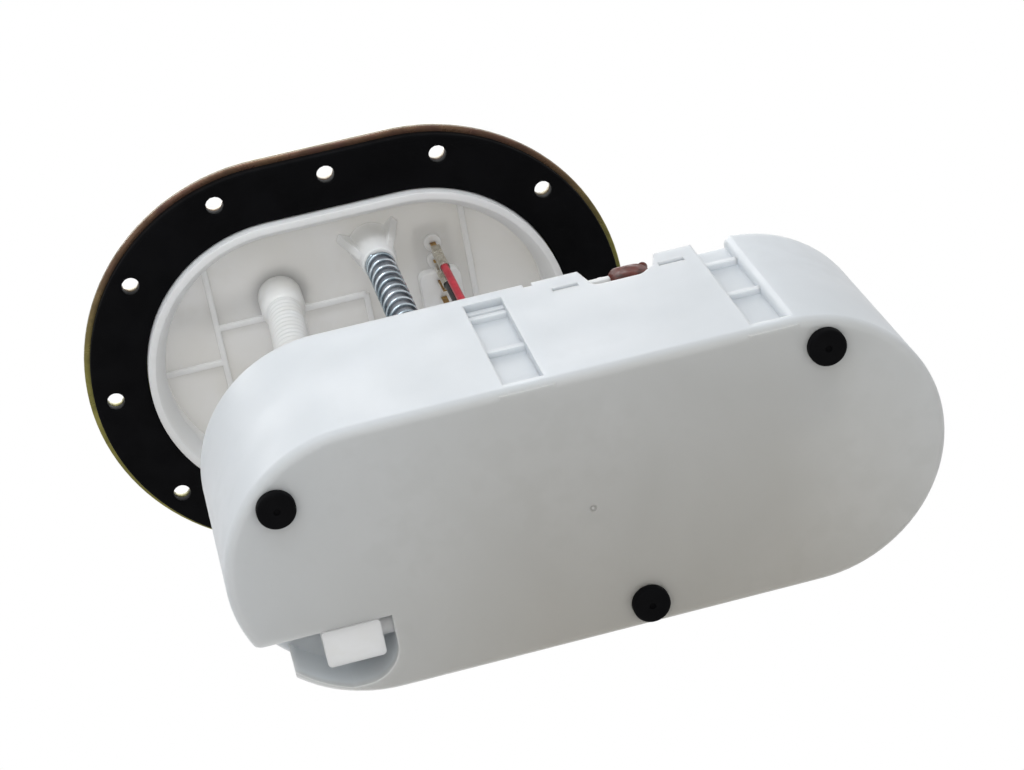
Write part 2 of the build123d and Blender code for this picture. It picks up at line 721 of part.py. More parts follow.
def reservoir():
    """The moulded fuel reservoir with its sleeves, grooves, windows and inlet channel."""
    body = oval(RES_HALF_STRAIGHT, RES_R, up(0), up(RES_TALL), RES_X)
    body = fillet(body.edges().filter_by(Plane.XY).group_by(Axis.Z)[0], RES_EDGE_R)
    body -= oval(RES_HALF_STRAIGHT, RES_INNER_R, up(RES_FLOOR), up(RES_TALL), RES_X)
    body += groove_backing(GROOVE_LEFT_X, GROOVE_LEFT_WIDE)
    body += groove_backing(GROOVE_RIGHT_X, GROOVE_RIGHT_WIDE)
    body -= groove_cut(GROOVE_LEFT_X, GROOVE_LEFT_WIDE, up(RES_TALL - GROOVE_LIP), LEDGES_LEFT)
    body -= groove_cut(GROOVE_RIGHT_X, GROOVE_RIGHT_WIDE, up(RES_TALL), LEDGES_RIGHT)
    body -= groove_shoulder()
    housing = extrude(Pos(0, 0, up(RES_FLOOR / 2)) * channel_plan(RES_WALL), amount=CHANNEL_TALL)
    body += housing
    body -= extrude(Pos(0, 0, up(0)) * channel_plan(), amount=CHANNEL_TALL - RES_FLOOR / 2)
    mouth = RES_END_X + CHANNEL_MOUTH
    body -= block(RES_END_X, mouth, CHANNEL_Y, RES_R, up(0), up(CHANNEL_TALL - RES_FLOOR / 2))
    for y in (-ROD_Y, ROD_Y):
        low, high = up(SLEEVE_TOP - SLEEVE_LONG), up(SLEEVE_TOP)
        body += disc(ROD_X, y, SLEEVE_R, low, high)
        body += sleeve_web(y)
        body -= disc(ROD_X, y, ROD_R + RUN_GAP, low, high)
    body -= scoop_cut()
    notch_foot = up(RES_TALL - NOTCH_DEEP)
    body -= block(NOTCH_X, NOTCH_X + NOTCH_WIDE, -RES_R, -RES_INNER_R, notch_foot, up(RES_TALL))
    for x in WINDOW_XS:
        half = WINDOW_WIDE / 2
        low, high = up(WINDOW_FOOT), up(WINDOW_FOOT + WINDOW_TALL)
        body -= block(x - half, x + half, -RES_R, RES_R, low, high)
    for turn in CRADLE_TURNS:
        body += cradle_rib(turn)
    ceiling = up(CHANNEL_TALL - RES_FLOOR / 2)
    roof = up(CHANNEL_TALL + RES_FLOOR / 2)
    nozzle_x = JET_X + JET_LONG / 2
    body -= disc(nozzle_x, jet_y(), NOZZLE_R + SLIP_GAP, ceiling, roof)
    body -= disc(VALVE_X, VALVE_Y, VALVE_STEM_R + RUN_GAP, ceiling, roof)
    for x, y in valve_ports():
        body -= disc(x, y, VALVE_PORT_R, ceiling, roof)
    mixer = Pos(CHANNEL_END_X - MIXER_R, jet_y(), up(MIXER_HEIGHT)) * Rot(0, 90, 0)
    body -= mixer * Cylinder(MIXER_R + SLIP_GAP, MIXER_REACH, align=BOTTOM)
    for x, y in foot_places():
        body -= disc(x, y, FOOT_STEM_R + SLIP_GAP, up(0), up(RES_FLOOR))
    gate = disc(RES_X, 0, GATE_R, up(0), up(GATE_TALL)) - disc(RES_X, 0, GATE_R / 2, up(0), up(GATE_TALL))
    return body - gate


def rubber_feet():
    """Three button feet, each pulled through the floor."""
    feet = []
    for x, y in foot_places():
        pad = disc(x, y, FOOT_R, up(-FOOT_TALL), up(0))
        pad = fillet(pad.edges().filter_by(GeomType.CIRCLE).sort_by(Axis.Z)[0], FOOT_EDGE_R)
        pad += disc(x, y, FOOT_STEM_R, up(0), up(RES_FLOOR))
        pad += disc(x, y, FOOT_BUTTON_R, up(RES_FLOOR), up(RES_FLOOR + FOOT_BUTTON_TALL))
        feet.append(pad - disc(x, y, FOOT_DIMPLE_R, up(-FOOT_TALL), up(FOOT_DIMPLE_DEEP - FOOT_TALL)))
    return feet


def cover_hook(x, side):
    """A snap hook that hangs from the cover into a window of the wall."""
    face = side * (RES_INNER_R - COVER_GAP)
    y0, y1 = sorted((face, face - side * HOOK_THICK))
    low = up(WINDOW_FOOT + EDGE_GAP)
    half = HOOK_WIDE / 2
    hook = block(x - half, x + half, y0, y1, low, up(COVER_TOP))
    b0, b1 = sorted((face, face + side * HOOK_BARB))
    return hook + block(x - half, x + half, b0, b1, low, low + HOOK_BARB_TALL)


def reservoir_cover():
    """The snap-in cover that holds the pump and the filter upright."""
    low, high = up(COVER_TOP - COVER_THICK), up(COVER_TOP)
    plate = oval(RES_HALF_STRAIGHT, RES_INNER_R - COVER_GAP, low, high, RES_X)
    plate &= block(COVER_X0, COVER_X1, -RES_R, RES_R, low, high)
    inside = -RES_R + GROOVE_DEEP + RES_WALL
    side = RES_WALL + COVER_GAP
    for x, wide in ((GROOVE_LEFT_X, GROOVE_LEFT_WIDE), (GROOVE_RIGHT_X, GROOVE_RIGHT_WIDE)):
        plate -= block(x - side, x + wide + side, -RES_R, inside + COVER_GAP, low, high)
    collar_r = PUMP_R + ISOLATOR_THICK + 2 * EDGE_GAP + COLLAR_WALL
    plate += disc(PUMP_X, PUMP_Y, collar_r, high - COLLAR_TALL, high) & block(
        COVER_X0, COVER_X1, -RES_INNER_R + COVER_GAP, RES_R, high - COLLAR_TALL, high
    )
    plate -= disc(PUMP_X, PUMP_Y, collar_r - COLLAR_WALL, high - COLLAR_TALL, high)
    plate -= disc(FILTER_X, FILTER_Y, FILTER_R + FILTER_HEAD_PROUD + EDGE_GAP, high - COLLAR_TALL, high)
    half = PLUG_WIDE / 2 + COVER_GAP
    plate -= block(PLUG_X - half, PLUG_X + half, -RES_R, PUMP_Y, high - COLLAR_TALL, high)
    for y in (-RES_INNER_R / 2, RES_INNER_R / 2):
        rib = block(COVER_X0, COVER_X1, y, y + COVER_THICK, high, high + COVER_RIB_TALL)
        rib -= disc(PUMP_X, PUMP_Y, collar_r - COLLAR_WALL, high, high + COVER_RIB_TALL)
        rib -= disc(FILTER_X, FILTER_Y, FILTER_R + FILTER_HEAD_PROUD + EDGE_GAP, high, high + COVER_RIB_TALL)
        if y > 0:
            plate += rib
    for x in WINDOW_XS:
        for side in (-1, 1):
            plate += cover_hook(x, side)
    return plate


# ---------------------------------------------------------------- pump
def pump_can():
    """The pump's steel can."""
    return tube(PUMP_X, PUMP_Y, PUMP_R, CAN_BORE_R, up(CAN_FOOT), up(CAN_TOP))


def pump_inlet_cap():
    """The inlet cap in the can's foot, with its nipple and the lower bearing's seat."""
    low = up(INLET_FOOT)
    cap = disc(PUMP_X, PUMP_Y, PUMP_R, low, up(CAN_FOOT))
    cap += disc(PUMP_X, PUMP_Y, CAN_BORE_R - SLIP_GAP, up(CAN_FOOT), up(INLET_FOOT + INLET_TALL))
    cap += disc(PUMP_X, PUMP_Y, INLET_NIPPLE_R, low - INLET_NIPPLE_LONG, low)
    cap -= disc(PUMP_X, PUMP_Y, BEARING_R + SLIP_GAP, up(SHAFT_FOOT), up(INLET_FOOT + INLET_TALL))
    port_x, port_y = around(PUMP_X, PUMP_Y, 180, IMPELLER_R - INLET_BORE_R)
    cap -= disc(port_x, port_y, INLET_BORE_R, low + CAN_WALL, up(INLET_FOOT + INLET_TALL))
    cap -= disc(PUMP_X, PUMP_Y, INLET_BORE_R, low - INLET_NIPPLE_LONG, low + CAN_WALL)
    half = INLET_BORE_R / 2
    return cap - block(port_x, PUMP_X, PUMP_Y - half, PUMP_Y + half, low + CAN_WALL / 2, low + CAN_WALL)


def pump_end_cap():
    """The outlet end cap with its nipple and the seat of the upper bearing."""
    skirt = up(CAN_TOP - CAP_SKIRT)
    cap = disc(PUMP_X, PUMP_Y, CAN_BORE_R - SLIP_GAP, skirt, up(CAN_TOP))
    cap += disc(PUMP_X, PUMP_Y, PUMP_R, up(CAN_TOP), up(CAN_TOP) + CAN_WALL)
    cap += disc(PUMP_X, PUMP_Y, CAP_STEP_R, up(CAN_TOP) + CAN_WALL, up(CAP_TOP))
    cap = chamfer(cap.edges().filter_by(GeomType.CIRCLE).sort_by(Axis.Z)[-1], CAN_WALL)
    cap += disc(PUMP_NIPPLE_X, PUMP_NIPPLE_Y, PUMP_NIPPLE_R, up(CAP_TOP), up(PUMP_NIPPLE_TOP))
    half = PLUG_WIDE / 2
    back = plug_front() + PLUG_DEEP + COVER_GAP
    side = half + COVER_GAP
    cap -= block(PLUG_X - side, PLUG_X + side, -RES_R, back, up(CAN_TOP) + CAN_WALL, up(CAP_TOP))
    cap += block(
        PLUG_X - half + PLUG_EDGE_R, PLUG_X + half - PLUG_EDGE_R,
        plug_front() + PLUG_EDGE_R, back, up(CAN_TOP) + CAN_WALL, up(PLUG_FOOT),
    )
    for blade in pump_terminals():
        cap -= blade
    cap -= disc(PUMP_X, PUMP_Y, BEARING_R + SLIP_GAP, skirt, up(SHAFT_TOP) + CAN_WALL)
    room_top = skirt + BRUSH_SIDE
    cap -= disc(PUMP_X, PUMP_Y, COMMUTATOR_R + BRUSH_LONG + EDGE_GAP, skirt, room_top)
    return cap - disc(PUMP_NIPPLE_X, PUMP_NIPPLE_Y, PUMP_NIPPLE_BORE_R, room_top, up(PUMP_NIPPLE_TOP))


def blade_room(x, low, high, gap=0.0):
    """The space of one flat terminal of the pump."""
    y = plug_front() + PLUG_DEEP / 2
    wide, thick = PIN_WIDE / 2 + gap, PIN_THICK / 2 + gap
    return block(x - wide, x + wide, y - thick, y + thick, low, high)


def pump_terminals():
    """The two flat terminals that stand up into the plug."""
    low, high = up(CAN_TOP) + CAN_WALL, up(PLUG_FOOT) + BLADE_TALL
    return [blade_room(PLUG_X + side * BLADE_SPREAD, low, high) for side in (-1, 1)]


def plug_front():
    """The plug's front face."""
    return -RES_R + PLUG_FRONT


def pump_bearings():
    """The two sintered bushes of the pump's shaft."""
    return [
        tube(PUMP_X, PUMP_Y, BEARING_R, SHAFT_R + RUN_GAP, up(level), up(level) + BEARING_TALL)
        for level in (INLET_FOOT + INLET_TALL - BEARING_TALL, SHAFT_TOP - BEARING_TALL)
    ]


def pump_magnets():
    """Two arc magnets inside the can."""
    low, high = up(ROTOR_FOOT), up(ROTOR_FOOT + ROTOR_TALL)
    shell = tube(PUMP_X, PUMP_Y, CAN_BORE_R - SLIP_GAP, CAN_BORE_R - MAGNET_THICK, low, high)
    gap = CAN_BORE_R * sin(radians((FULL_TURN / 2 - MAGNET_SPAN) / 2))
    shell -= block(PUMP_X - PUMP_R, PUMP_X + PUMP_R, PUMP_Y - gap, PUMP_Y + gap, low, high)
    return list(shell.solids())


def pump_brushes():
    """Two carbon brushes against the commutator."""
    low, half = up(CAN_TOP - CAP_SKIRT), BRUSH_SIDE / 2
    brushes = []
    for side in (-1, 1):
        x0 = PUMP_X + side * (COMMUTATOR_R + RUN_GAP)
        x0, x1 = sorted((x0, x0 + side * BRUSH_LONG))
        brushes.append(block(x0, x1, PUMP_Y - half, PUMP_Y + half, low - half, low + BRUSH_SIDE - EDGE_GAP))
    return brushes


def rotor_shaft():
    """The pump's shaft."""
    return disc(PUMP_X, PUMP_Y, SHAFT_R, up(SHAFT_FOOT) + EDGE_GAP, up(SHAFT_TOP))


def rotor_armature():
    """The slotted armature pressed on the shaft."""
    low, high = up(ROTOR_FOOT), up(ROTOR_FOOT + ROTOR_TALL)
    core = tube(PUMP_X, PUMP_Y, ROTOR_R, SHAFT_R + SLIP_GAP, low, high)
    for index in range(ROTOR_SLOTS):
        slot = block(ROTOR_R - ROTOR_SLOT_DEEP, ROTOR_R, -ROTOR_SLOT_WIDE / 2, ROTOR_SLOT_WIDE / 2, low, high)
        core -= Pos(PUMP_X, PUMP_Y, 0) * Rot(0, 0, index * FULL_TURN / ROTOR_SLOTS) * slot
    return core


def rotor_commutator():
    """The commutator above the armature."""
    low, high = up(ROTOR_FOOT + ROTOR_TALL), up(SHAFT_TOP - BEARING_TALL) - EDGE_GAP
    return tube(PUMP_X, PUMP_Y, COMMUTATOR_R, SHAFT_R + SLIP_GAP, low, high)


def rotor_impeller():
    """The turbine impeller under the armature, with notched vanes round its edge."""
    low = up(INLET_FOOT + INLET_TALL) + EDGE_GAP
    wheel = tube(PUMP_X, PUMP_Y, IMPELLER_R, SHAFT_R + SLIP_GAP, low, low + IMPELLER_TALL)
    step = FULL_TURN / IMPELLER_VANES
    for index in range(IMPELLER_VANES):
        x, y = around(PUMP_X, PUMP_Y, index * step, IMPELLER_R)
        wheel -= disc(x, y, IMPELLER_NOTCH_R, low, low + IMPELLER_TALL)
    return wheel


def pump_chamber():
    """The plate over the impeller that closes the pumping chamber."""
    low = up(INLET_FOOT + INLET_TALL) + EDGE_GAP + IMPELLER_TALL + EDGE_GAP
    plate = disc(PUMP_X, PUMP_Y, CAN_BORE_R - SLIP_GAP, low, low + CAN_WALL)
    seat = up(INLET_FOOT + INLET_TALL)
    wall = tube(PUMP_X, PUMP_Y, CAN_BORE_R - SLIP_GAP, IMPELLER_R + EDGE_GAP, seat, low)
    port_x, port_y = around(PUMP_X, PUMP_Y, 0, IMPELLER_R - INLET_BORE_R)
    plate -= disc(port_x, port_y, INLET_BORE_R, low, low + CAN_WALL)
    return plate + wall - disc(PUMP_X, PUMP_Y, SHAFT_R + EDGE_GAP, low, low + CAN_WALL)


def pump_isolator():
    """The rubber sleeve between the pump and the cover's collar."""
    inner, low = PUMP_R + EDGE_GAP, up(ISOLATOR_FOOT)
    return tube(PUMP_X, PUMP_Y, inner + ISOLATOR_THICK, inner, low, low + ISOLATOR_TALL)


def pump_plug():
    """The rounded plug on the pump's terminals, with two wire seals on its back."""
    y0 = plug_front()
    wide, tall = PLUG_WIDE, PLUG_TOP - PLUG_FOOT
    outline = Pos(PLUG_X, up(PLUG_FOOT) + tall / 2) * RectangleRounded(wide, tall, PLUG_ROUND_R)
    body = Pos(0, y0 + PLUG_DEEP, 0) * extrude(Plane.XZ * outline, amount=PLUG_DEEP)
    body = fillet(body.faces().sort_by(Axis.Y)[0].edges(), PLUG_EDGE_R)
    for x in STUB_XS:
        body += disc(x, y0 + PLUG_DEEP / 2, STUB_R, up(PLUG_FOOT + tall / 2), up(PLUG_TOP) + STUB_TALL)
    for side in (-1, 1):
        entry = Pos(PLUG_X + side * BLADE_SPREAD, lead_end_y(), lead_level()) * Rot(-90, 0, 0)
        body += entry * Cylinder(ENTRY_R, ENTRY_DEEP + ENTRY_LONG, align=BOTTOM)
        body -= entry * Cylinder(WIRE_R + SLIP_GAP, ENTRY_DEEP + ENTRY_LONG, align=BOTTOM)
        body -= blade_room(PLUG_X + side * BLADE_SPREAD, up(PLUG_FOOT), up(PLUG_FOOT) + BLADE_TALL, SLIP_GAP)
    return body


# ---------------------------------------------------------------- strainer and filter
def strainer_sock():
    """The flat strainer bag under the pump."""
    x = PUMP_X - SOCK_BACK + SOCK_LONG / 2
    low = up(RES_FLOOR) + EDGE_GAP
    outline = Pos(x, PUMP_Y, low) * RectangleRounded(SOCK_LONG, SOCK_WIDE, SOCK_ROUND_R)
    bag = extrude(outline, amount=SOCK_THICK)
    return fillet(bag.edges().filter_by(Plane.XY), SOCK_THICK / 2 - EDGE_GAP)


def strainer_collar():
    """The ring that joins the strainer to the pump's inlet."""
    low = up(RES_FLOOR) + EDGE_GAP + SOCK_THICK
    return tube(PUMP_X, PUMP_Y, SOCK_COLLAR_R, INLET_NIPPLE_R + SLIP_GAP, low, up(INLET_FOOT))


def filter_canister():
    """The filter's canister with its outlet nipple."""
    low = up(RES_FLOOR)
    body = disc(FILTER_X, FILTER_Y, FILTER_R, low, up(FILTER_TOP))
    nipple = Pos(FILTER_X - FILTER_R + FILTER_WALL / 2, FILTER_Y, up(FILTER_NIPPLE_HEIGHT)) * Rot(0, -90, 0)
    body += nipple * Cylinder(FILTER_NIPPLE_R, FILTER_NIPPLE_LONG, align=BOTTOM)
    body -= disc(FILTER_X, FILTER_Y, FILTER_R - FILTER_WALL, low + FILTER_WALL, up(FILTER_TOP))
    bore = Pos(FILTER_X - FILTER_R + FILTER_WALL * 2, FILTER_Y, up(FILTER_NIPPLE_HEIGHT)) * Rot(0, -90, 0)
    return body - bore * Cylinder(FILTER_NIPPLE_BORE_R, FILTER_NIPPLE_LONG + 2 * FILTER_WALL, align=BOTTOM)


def filter_element():
    """The pleated paper element."""
    points = []
    for index in range(2 * PLEAT_COUNT):
        reach = PLEAT_OUT_R if index % 2 else PLEAT_IN_R
        points.append(around(0, 0, index * FULL_TURN / (2 * PLEAT_COUNT), reach))
    star = make_face(Polyline(*points, close=True)) - Circle(PLEAT_CORE_R)
    low, high = up(RES_FLOOR + FILTER_WALL) + EDGE_GAP, up(FILTER_TOP) - EDGE_GAP
    return extrude(Pos(FILTER_X, FILTER_Y, low) * star, amount=high - low)


def return_level():
    """Level of the return nipple's axis, just clear of the filter's head."""
    return up(FILTER_TOP + FILTER_HEAD_TALL) + RETURN_HOSE_R + EDGE_GAP


def filter_head():
    """The filter's head with its inlet nipple, the regulator's seat and the return nipple."""
    low, high = up(FILTER_TOP), up(FILTER_TOP + FILTER_HEAD_TALL)
    head = disc(FILTER_X, FILTER_Y, FILTER_R + FILTER_HEAD_PROUD, low, high)
    head = chamfer(head.edges().filter_by(GeomType.CIRCLE).sort_by(Axis.Z)[-1], FILTER_HEAD_PROUD)
    head += disc(FILTER_INLET_X, FILTER_INLET_Y, PUMP_NIPPLE_R, high, up(FILTER_INLET_TOP))
    seat_r = REG_NECK_R + 2 * REG_RING_R + FILTER_WALL
    head += disc(REG_X, REG_Y, seat_r, high, high + REG_NECK_TALL)
    elbow = Pos(REG_X, REG_Y, return_level()) * Rot(0, -90, 0)
    head += elbow * Cylinder(RETURN_R, seat_r + RETURN_LONG, align=BOTTOM)
    head -= disc(REG_X, REG_Y, REG_NECK_R + 2 * REG_RING_R - EDGE_GAP, high, high + REG_NECK_TALL)
    head -= elbow * Cylinder(RETURN_BORE_R, seat_r + RETURN_LONG, align=BOTTOM)
    return head - disc(FILTER_INLET_X, FILTER_INLET_Y, PUMP_NIPPLE_BORE_R, low, up(FILTER_INLET_TOP))


def regulator():
    """The pressure regulator: a crimped pot with a domed spring cover."""
    base = up(FILTER_TOP + FILTER_HEAD_TALL)
    body = disc(REG_X, REG_Y, REG_NECK_R, base, base + REG_NECK_TALL)
    pot_low = base + REG_NECK_TALL
    pot = disc(REG_X, REG_Y, REG_R, pot_low, pot_low + REG_TALL / 3)
    pot = fillet(pot.edges().filter_by(GeomType.CIRCLE), REG_RING_R / 2)
    body += pot
    dome_low = pot_low + REG_TALL / 3
    dome = disc(REG_X, REG_Y, REG_DOME_R, dome_low, dome_low + REG_DOME_TALL)
    dome = fillet(dome.edges().filter_by(GeomType.CIRCLE).sort_by(Axis.Z)[-1], REG_RING_R)
    return body + dome


def regulator_o_ring():
    """The O-ring on the regulator's neck."""
    level = up(FILTER_TOP + FILTER_HEAD_TALL) + REG_NECK_TALL / 2
    return ring(REG_X, REG_Y, REG_NECK_R + REG_RING_R - EDGE_GAP / 2, REG_RING_R - EDGE_GAP / 2, level)


def regulator_clip():
    """The spring clip that keeps the regulator down."""
    low = up(FILTER_TOP + FILTER_HEAD_TALL) + REG_NECK_TALL + REG_TALL / 3
    clip = tube(REG_X, REG_Y, REG_CLIP_R, REG_DOME_R + SLIP_GAP, low, low + REG_CLIP_THICK)
    gap = REG_CLIP_GAP / 2
    return clip - block(REG_X, REG_X + REG_CLIP_R, REG_Y - gap, REG_Y + gap, low, low + REG_CLIP_THICK)


# ---------------------------------------------------------------- jet pump and inlet valve
def jet_pump_body():
    """The jet pump's block, flush with the reservoir's underside, with its mixing tube."""
    y0 = jet_y() - JET_WIDE / 2
    body = block(JET_X, JET_X + JET_LONG, y0, y0 + JET_WIDE, up(0), up(JET_TALL))
    body = fillet(body.edges().filter_by(Axis.Z), JET_CORNER_R)
    mixer = Pos(JET_X + JET_LONG - MIXER_R, jet_y(), up(MIXER_HEIGHT)) * Rot(0, 90, 0)
    reach = MIXER_REACH + CHANNEL_END_X - JET_X - JET_LONG
    body += mixer * Cylinder(MIXER_R, reach, align=BOTTOM)
    middle = JET_X + JET_LONG / 2
    body -= disc(middle, jet_y(), NOZZLE_R + SLIP_GAP, up(MIXER_HEIGHT), up(JET_TALL))
    bore = Pos(middle, jet_y(), up(MIXER_HEIGHT)) * Rot(0, 90, 0)
    return body - bore * Cylinder(MIXER_BORE_R, JET_LONG / 2 + reach, align=BOTTOM)


def jet_pump_nozzle():
    """The nozzle that feeds the jet pump through the channel's roof."""
    x = JET_X + JET_LONG / 2
    low, high = up(MIXER_HEIGHT) + EDGE_GAP, up(NOZZLE_TOP)
    nozzle = tube(x, jet_y(), NOZZLE_R, NOZZLE_BORE_R, low, high)
    roof = up(CHANNEL_TALL + RES_FLOOR / 2)
    return nozzle + tube(x, jet_y(), NOZZLE_R + BARB_TALL, NOZZLE_R, roof, roof + BARB_PROUD)


def inlet_valve():
    """The rubber umbrella valve on the channel's roof."""
    roof = up(CHANNEL_TALL + RES_FLOOR / 2)
    cap = disc(VALVE_X, VALVE_Y, VALVE_R, roof, roof + VALVE_THICK)
    cap += disc(VALVE_X, VALVE_Y, VALVE_STEM_R, roof - RES_FLOOR - VALVE_LIFT - VALVE_THICK, roof)
    low = roof - RES_FLOOR - VALVE_LIFT - VALVE_THICK
    return cap + disc(VALVE_X, VALVE_Y, VALVE_STEM_R + BARB_PROUD, low, low + VALVE_THICK)


# ---------------------------------------------------------------- hoses and wires
def lid_hose():
    """The outlet hose from the filter up to the lid, with a smooth cuff at its top."""
    top = LID_INNER - HOSE_TOP_DROP
    foot = up(FILTER_NIPPLE_HEIGHT)
    end_x = FILTER_X - FILTER_R - FILTER_NIPPLE_LONG / 2 + FILTER_WALL / 2
    points = [
        (HOSE_X, HOSE_Y, top),
        (HOSE_X, HOSE_Y, top - 2 * OUTLET_TAIL),
        (HOSE_X - HOSE_BOW, HOSE_Y + HOSE_BOW / 2, (top + foot) / 2),
        (HOSE_X - HOSE_BOW / 2, HOSE_Y + HOSE_BOW, foot + HOSE_R),
        (HOSE_X + 2 * HOSE_R, FILTER_Y, foot),
        (end_x, FILTER_Y, foot),
    ]
    body = pipe(points, HOSE_R)
    cuff = disc(HOSE_X, HOSE_Y, HOSE_CUFF_R, top - HOSE_CUFF_LONG, top)
    cuff = fillet(cuff.edges().filter_by(GeomType.CIRCLE), HOSE_CUFF_ROUND_R)
    body += cuff
    return body - pipe(points, HOSE_BORE_R)


def pump_link():
    """The short formed hose from the pump's outlet to the filter's inlet."""
    start, end = up(CAP_TOP) + BARB_TALL, up(FILTER_TOP + FILTER_HEAD_TALL) + BARB_TALL
    crest = up(PUMP_NIPPLE_TOP) + 2 * LINK_R
    points = [
        (PUMP_NIPPLE_X, PUMP_NIPPLE_Y, start),
        (PUMP_NIPPLE_X, PUMP_NIPPLE_Y, crest),
        (FILTER_INLET_X, FILTER_INLET_Y, crest),
        (FILTER_INLET_X, FILTER_INLET_Y, end),
    ]
    return pipe(points, LINK_R, LINK_BORE_R)


def link_clamps():
    """The two clamps of the pump's outlet hose."""
    places = (
        (PUMP_NIPPLE_X, PUMP_NIPPLE_Y, up(CAP_TOP) + 2 * BARB_TALL),
        (FILTER_INLET_X, FILTER_INLET_Y, up(FILTER_TOP + FILTER_HEAD_TALL) + 2 * BARB_TALL),
    )
    return [tube(x, y, CLAMP_R, LINK_R, low, low + CLAMP_TALL) for x, y, low in places]


def return_hose():
    """The small hose from the regulator's return down to the jet pump."""
    level = return_level()
    seat_r = REG_NECK_R + 2 * REG_RING_R + FILTER_WALL
    x = JET_X + JET_LONG / 2
    points = [
        (REG_X - seat_r - RETURN_LONG / 3, REG_Y, level),
        (REG_X - seat_r - 4 * RETURN_LONG, REG_Y, level),
        (x, jet_y(), up(NOZZLE_TOP) + 3 * RETURN_LONG),
        (x, jet_y(), up(CHANNEL_TALL + RES_FLOOR / 2) + RETURN_R),
    ]
    return pipe(points, RETURN_HOSE_R, RETURN_HOSE_BORE_R)


def lead_level():
    """Height of the wires where they enter the pump's plug."""
    return up(PLUG_FOOT + ENTRY_RISE)


def lead_end_y():
    """Where the wires end inside the plug."""
    return plug_front() + PLUG_DEEP - ENTRY_DEEP


def lead(pin, side, spread):
    """A lead from its crimp straight down beside the spring and round into the plug's back."""
    x, y = pin
    top = LID_INNER - PIN_TAIL - CRIMP_LONG / 2
    end_x = PLUG_X + side * BLADE_SPREAD
    turn_y = plug_front() + PLUG_DEEP + LEAD_ROOM + spread
    points = [
        (x, y, top),
        (x, y, up(RES_TALL) + LEAD_DROP),
        (x + LEAD_SWING, (y + turn_y) / 2, up(RES_TALL) + LEAD_CLEAR),
        (end_x - LEAD_SWING, turn_y, lead_level()),
        (end_x, turn_y, lead_level()),
        (end_x, lead_end_y(), lead_level()),
    ]
    return pipe(points, WIRE_R)


# ---------------------------------------------------------------- build
PIECES = {
    "flange_plate": flange_plate,
    "flange_gasket": flange_gasket,
    "lid": lid,
    "outlet_fitting": outlet_fitting,
    "outlet_o_ring": lambda: ring(HOSE_X, HOSE_Y, ring_path(), RING_R, LID_CROWN + RING_R),
    "connector_pins": connector_pins,
    "wire_terminals": wire_terminals,
    "guide_rod_front": lambda: guide_rod(-ROD_Y),
    "guide_rod_rear": lambda: guide_rod(ROD_Y),
    "rod_clips": lambda: [rod_clip(-ROD_Y), rod_clip(ROD_Y)],
    "spring_front": lambda: spring(-ROD_Y),
    "spring_rear": lambda: spring(ROD_Y),
    "reservoir": reservoir,
    "reservoir_cover": reservoir_cover,
    "rubber_feet": rubber_feet,
    "pump_can": pump_can,
    "pump_inlet_cap": pump_inlet_cap,
    "pump_end_cap": pump_end_cap,
    "pump_chamber": pump_chamber,
    "pump_bearings": pump_bearings,
    "pump_magnets": pump_magnets,
    "pump_brushes": pump_brushes,
    "pump_isolator": pump_isolator,
    "pump_terminals": pump_terminals,
    "pump_plug": pump_plug,
    "rotor_shaft": rotor_shaft,
    "rotor_armature": rotor_armature,
    "rotor_commutator": rotor_commutator,
    "rotor_impeller": rotor_impeller,
    "strainer_sock": strainer_sock,
    "strainer_collar": strainer_collar,
    "filter_canister": filter_canister,
    "filter_element": filter_element,
    "filter_head": filter_head,
    "regulator": regulator,
    "regulator_o_ring": regulator_o_ring,
    "regulator_clip": regulator_clip,
    "jet_pump_body": jet_pump_body,
    "jet_pump_nozzle": jet_pump_nozzle,
    "inlet_valve": inlet_valve,
    "lid_hose": lid_hose,
    "pump_link": pump_link,
    "link_clamps": link_clamps,
    "return_hose": return_hose,
    "lead_red": lambda: lead(pin_places()[0], -1, 0.0),
    "lead_black": lambda: lead(pin_places()[1], 1, LEAD_SPACING),
}


def write_parts():
    """Write each piece to its own file."""
    os.makedirs("parts", exist_ok=True)
    for name, make in PIECES.items():
        piece = make()
        solids = piece if isinstance(piece, list) else [piece]
        export_step(Compound(children=[solid for item in solids for solid in item.solids()]), f"parts/{name}.step")
        print(name, flush=True)


write_parts()
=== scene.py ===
import math
from functools import cache

import bmesh
import bpy
import numpy as np
from bpy.props import FloatProperty, FloatVectorProperty, PointerProperty
from mathutils import Matrix, Vector


